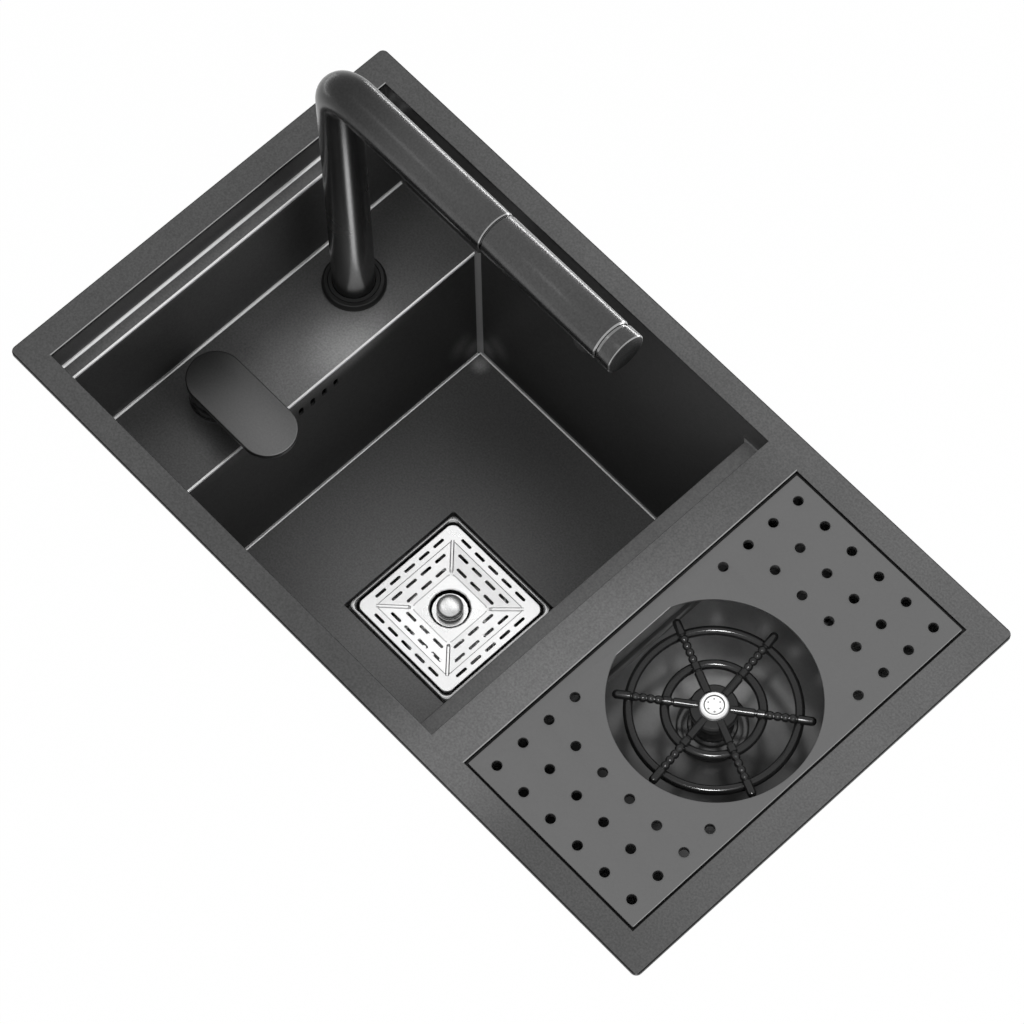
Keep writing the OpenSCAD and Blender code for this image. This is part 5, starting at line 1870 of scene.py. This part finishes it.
@dataclass
class Rinser(Upright):
    """Glass rinser in the trough."""

    x: float = 184.25
    y: float = -2.5
    trough_z: float = -43.0
    cap_r: float = 9.0
    cap_z: Flat = (-9.0, -6.0)
    hub_r: float = 15.0
    hub_z: Flat = (-14.0, -9.0)
    arm_r: float = 2.8
    arm_z: float = -10.4
    arm_x: Flat = (10.0, 61.0)
    arm_n: int = 6
    first_arm: float = -22.0
    ring_z: float = -13.8
    rings: Flat = (29.3, 51.0)
    wire_r: float = 3.0
    plunger_r: float = 7.0
    plunger_z: float = -36.0
    valve_r: Flat = (11.0, 13.0)
    valve_z: Flat = (-30.05, -22.6)
    flange: tuple[float, float, float] = (22.0, -41.5, -37.5)
    bore_r: float = 7.3
    spring_z: Flat = (-60.0, -36.0)
    shank_r: float = 11.0
    shank_z: float = -84.5
    inlet_r: float = 10.48
    inlet_z: float = -99.5
    nut_r: float = 16.0
    nut_z: Flat = (-52.5, -44.5)
    outlet_y: float = 104.5

    def star(self, patterns: Patterns) -> None:
        """Hub, six beaded arms and two wire rings."""
        arm = Shape()
        a0, a1 = self.arm_x
        r = self.arm_r
        inner, outer = self.rings
        beads, pitch = 4, 4.6
        groove = inner - 4.4
        profile: list[Flat] = [(0.0, a0), (r, a0), (r, groove - 0.9), (r - 0.8, groove - 0.3),
                               (r - 0.8, groove + 0.3), (r, groove + 0.9)]
        first = (inner + outer - beads * pitch) / 2
        profile.append((r, first - 0.9))
        for i in range(beads):
            base = first + i * pitch
            profile += [(r - 0.9, base - 0.2), (r - 0.9, base + 0.2), (r - 0.25, base + 1.0),
                        (r, base + pitch / 2), (r - 0.25, base + pitch - 1.0)]
        last = first + beads * pitch
        profile += [(r - 0.9, last - 0.2), (r - 0.9, last + 0.2), (r, last + 0.9), (r, a1 - r)]
        for i in range(1, 6):
            t = math.radians(90 * i / 5)
            profile.append((r * math.cos(t), a1 - r + r * math.sin(t)))
        arm.lathe(profile, centre=(0.0, 0.0, self.arm_z), axis=Axis.X, steps=20)
        arms = self.repeated(patterns, arm, self.arm_n, GLOSS_WIRE, math.radians(self.first_arm))
        h0, h1 = self.hub_z
        out = self.hub_r
        hub = self.turned([(0.0, h1), (out - 3.0, h1), (out - 1.0, h1 - 0.5), (out, h1 - 1.6),
                           (out, h0 + 1.0), (out - 1.0, h0), (0.0, h0)], closed=False)
        dress("star_arms", joined(arms, hub), GLOSS_WIRE, "rinser_head", ["rinser_arms"])
        wires = Shape()
        for radius in self.rings:
            section = [(x, y) for x, y, _ in circle(radius, self.ring_z, self.wire_r, 0.0, 20)]
            wires.lathe(section, centre=(self.x, self.y, 0.0), steps=128, closed=True)
        dress("star_rings", wires.mesh(), GLOSS_WIRE, "rinser_head", ["rinser_rings"])

    def cap(self, patterns: Patterns) -> None:
        """Polished cap with a groove and jets."""
        z0, z1 = self.cap_z
        r = self.cap_r
        disc = self.turned([
            (0.0, z1 - 0.7), (5.6, z1 - 0.5), (6.1, z1 - 0.6), (6.4, z1 - 0.1), (6.8, z1), (7.8, z1 - 0.1),
            (8.6, z1 - 0.6), (r, z1 - 1.4), (r, z0), (0.0, z0)], 64, closed=False)
        jet = Shape()
        jet.lathe([(0.0, z1 - 0.35), (0.45, z1 - 0.4), (0.7, z1 - 0.6), (0.7, z1 - 1.2), (0.0, z1 - 1.2)],
                  centre=(4.1, 0.0, 0.0), steps=12)
        whole = joined(disc, self.repeated(patterns, jet, 6, POLISHED, 0.3))

        def painted_shade(c: Vector, face: bpy.types.MeshPolygon) -> float:
            """Painted shade: black in the groove and the jets."""
            away = math.hypot(c.x - self.x, c.y - self.y)
            if 5.5 < away < 6.4 and c.z > z1 - 0.7:
                return -0.85
            return -0.7 if away < 5.0 and face.area < 0.5 * MM * MM else 0.0

        paint_light_and_shade(whole, painted_shade)
        dress("jet_cap", whole, COVER_STEEL, "rinser_head", ["rinser_cap"])

    def valve(self) -> None:
        """Stepped valve body with its flange, shank and inlet thread, and the nut."""
        inner, outer = self.valve_r
        step, top = self.valve_z
        fr, f0, f1 = self.flange
        profile = [
            (self.bore_r, top), (inner - 0.8, top), (inner, top - 0.8), (inner, step + 2.4),
            (inner + 0.6, step + 1.6), (outer - 0.5, step), (outer, step - 0.5), (outer, f1 + 3.4),
            (outer + 1.6, f1 + 2.6), (outer + 2.4, f1 + 1.0), (fr - 4.0, f1 + 0.6), (fr - 1.2, f1),
            (fr, f1 - 0.8), (fr, f0), (self.shank_r, f0),
            *thread(self.shank_r, f0 - 2.0, self.shank_z + 1.0, 1.6, 0.5), (self.shank_r - 0.4, self.shank_z),
            (self.inlet_r, self.shank_z),
            *thread(self.inlet_r, self.shank_z - 1.0, self.inlet_z + 0.8, 1.8, 0.6),
            (self.inlet_r - 0.9, self.inlet_z), (5.0, self.inlet_z), (5.0, self.spring_z[0]),
            (self.bore_r, self.spring_z[0]),
        ]
        dress("rinser_valve", self.turned(profile), VALVE_STEEL, "sink", ["rinser_body"])
        lock = self.nut(self.shank_r, self.nut_r, self.nut_z)
        dress("rinser_nut", lock, BRASS, "sink", ["rinser_lock_nut"])

    def press(self) -> None:
        """Plunger and the wound spring that it presses."""
        r, top, low = self.plunger_r, self.hub_z[0], self.plunger_z
        plunger = self.turned([(0.0, top), (r - 0.3, top), (r, top - 0.4), (r, low + 3.0),
                               (r - 2.0, low + 3.0), (r - 2.0, low), (0.0, low)], 48, closed=False)
        dress("press_plunger", plunger, POLISHED, "rinser_head", ["rinser_plunger"])
        repaint(RUBBER, "rinser_seal", "rinser_gasket")
        low, high = self.spring_z
        wire, turns, coil_r, steps = 0.7, 6, 6.2, 24
        rings = []
        for i in range(turns * steps + 1):
            t = i / (turns * steps)
            a = 2 * math.pi * turns * t
            out = Vector((math.cos(a), math.sin(a), 0))
            middle = Vector((self.x, self.y, low + wire + (high - low - 2 * wire) * t)) + out * coil_r
            rings.append([middle + (out * math.cos(b) + Vector((0, 0, 1)) * math.sin(b)) * wire
                          for b in (2 * math.pi * k / 8 for k in range(8))])
        coil = Shape()
        coil.loft(rings)
        spring = dress("return_spring", coil.mesh(), POLISHED, "sink", ["rinser_spring"])
        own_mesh(spring)

    def outlet(self) -> None:
        """Trough outlet with its round grate and lock nut."""
        pipe = Upright(self.x, self.outlet_y)
        x, y, z = pipe.x, pipe.y, self.trough_z
        holes = [circle(x, y, 20.0, 0.0, 72)]
        holes += [circle(hx, hy, 2.5, 0.0, 24) for hx, hy, _ in circle(x, y, 8.0, 0.0, 6)]
        tube = pipe.turned([
            (0.0, z - 37.0), (13.5, z - 37.0), (13.5, z), (16.0, z),
            *thread(16.0, z - 0.5, z - 13.5, 1.6, 0.5), (16.0, z - 14.0), (15.0, z - 14.0), (15.0, z - 18.0),
            (15.4, z - 22.0), (14.6, z - 22.6), (15.2, z - 30.0), (14.6, z - 30.6), (15.0, z - 37.0),
            (14.5, z - 38.0), (0.0, z - 38.0),
        ], closed=False)
        grate = plate(holes, z, z + 1.0, 0.25)
        dress("trough_drain", joined(grate, tube), VALVE_STEEL, "sink", ["trough_outlet"])
        dress("trough_nut", pipe.nut(16.0, 21.0, self.nut_z), PLASTIC, "sink", ["trough_outlet_nut"])

    def build(self, patterns: Patterns) -> None:
        """Builds the rinser."""
        self.star(patterns)
        self.cap(patterns)
        self.valve()
        self.press()
        self.outlet()


@dataclass
class DripTray:
    """Loose drip tray over the trough."""

    x0: float = 113.6
    x1: float = 253.0
    half_y: float = 135.5
    thick: float = 2.0
    hole: tuple[float, float, float] = (184.25, -2.5, 64.5)
    flat_side: float = 60.5
    columns: int = 6
    rows: int = 4
    pitch_x: float = 22.75
    pitch_y: float = 21.0
    middle_x: float = 183.25
    outer_row: float = 124.0
    drip_r: float = 3.0
    lip: float = 0.75
    edge_r: float = 0.5

    def build(self, patterns: Patterns) -> None:
        """Builds the tray: plate with its big opening, and the lips of its drip holes."""
        cx, cy, r = self.hole
        side = cx - self.flat_side
        half = math.acos(self.flat_side / r)
        big: list[Point] = []
        count = 96
        for i in range(count + 1):
            a = -math.pi + half + (2 * math.pi - 2 * half) * i / count
            big.append((cx + r * math.cos(a), cy + r * math.sin(a), 0.0))
        t, d, w = self.thick, self.drip_r, self.lip
        loops = [rounded(self.x0, -self.half_y, self.x1, self.half_y, 0.8, 0.0, 3), big]
        for j in range(self.rows):
            for i in range(self.columns):
                if j < self.rows - 1 or i in (0, self.columns - 1):
                    x = self.middle_x + (i - (self.columns - 1) / 2) * self.pitch_x
                    y = self.outer_row - j * self.pitch_y
                    loops += [circle(x, -y, d + w, 0, 24), circle(x, y, d + w, 0, 24)]
        sheet = plate(loops, 0.0, t, self.edge_r)

        def shine(c: Vector, face: bpy.types.MeshPolygon) -> float:
            """Painted highlights on the edges at the far end and along the opening's flat side."""
            n = face.normal
            end = c.x > self.x1 - self.edge_r - 0.05 and 0.1 < n.z < 0.99
            chord = abs(c.x - side) < 0.6 and abs(c.y - cy) < 24 and n.x > 0.1 and -0.5 < n.z < 0.99
            return 1.0 if end or chord else 0.0

        paint_light_and_shade(sheet, shine)
        lip = Shape()
        lip.lathe([(d + w + 0.35, t), (d + w, t - 0.02), (d + w * 0.4, t - 0.25), (d, t - 1.0), (d, -2.0),
                   (d + 0.5, -2.0), (d + 0.6, 0.0), (d + w, 0.3), (d + w, t - 0.3)], steps=24, closed=True)
        lips = patterns.drip_pattern.grow(
            lip.mesh(), Columns=self.columns, Rows=self.rows, Pitch_X=self.pitch_x * MM,
            Pitch_Y=self.pitch_y * MM, Middle_X=self.middle_x * MM, Outer_Row=self.outer_row * MM,
            Material=TRAY_STEEL.material(),
        )
        dress("drip_plate", joined(sheet, lips), TRAY_STEEL, "tray", ["drip_tray"], sharp=20.0)


def main() -> None:
    """Builds the whole sink, piece by piece."""
    logging.basicConfig(level=logging.INFO, format="%(name)s: %(message)s")
    studio = Studio()
    studio.build()
    patterns = Patterns()
    Sink().build()
    Fixings().build(patterns)
    Drain().build(patterns)
    Tap().build(patterns)
    Mixer().build()
    Rinser().build(patterns)
    DripTray().build(patterns)
    for lamp in ("spout_gleam", "back_line", "left_line"):
        studio.only(lamp, ["spout_tube", "spray_tube", "selector_ring"])
    for lamp in ("riser_gleam", "riser_foot"):
        studio.only(lamp, ["spout_tube"])
    studio.only("wire_gleam", ["star_arms", "star_rings"])
    studio.only("cover_gleam", ["cover_plate", "pull_knob", "jet_cap"])


if __name__ == "__main__":
    main()
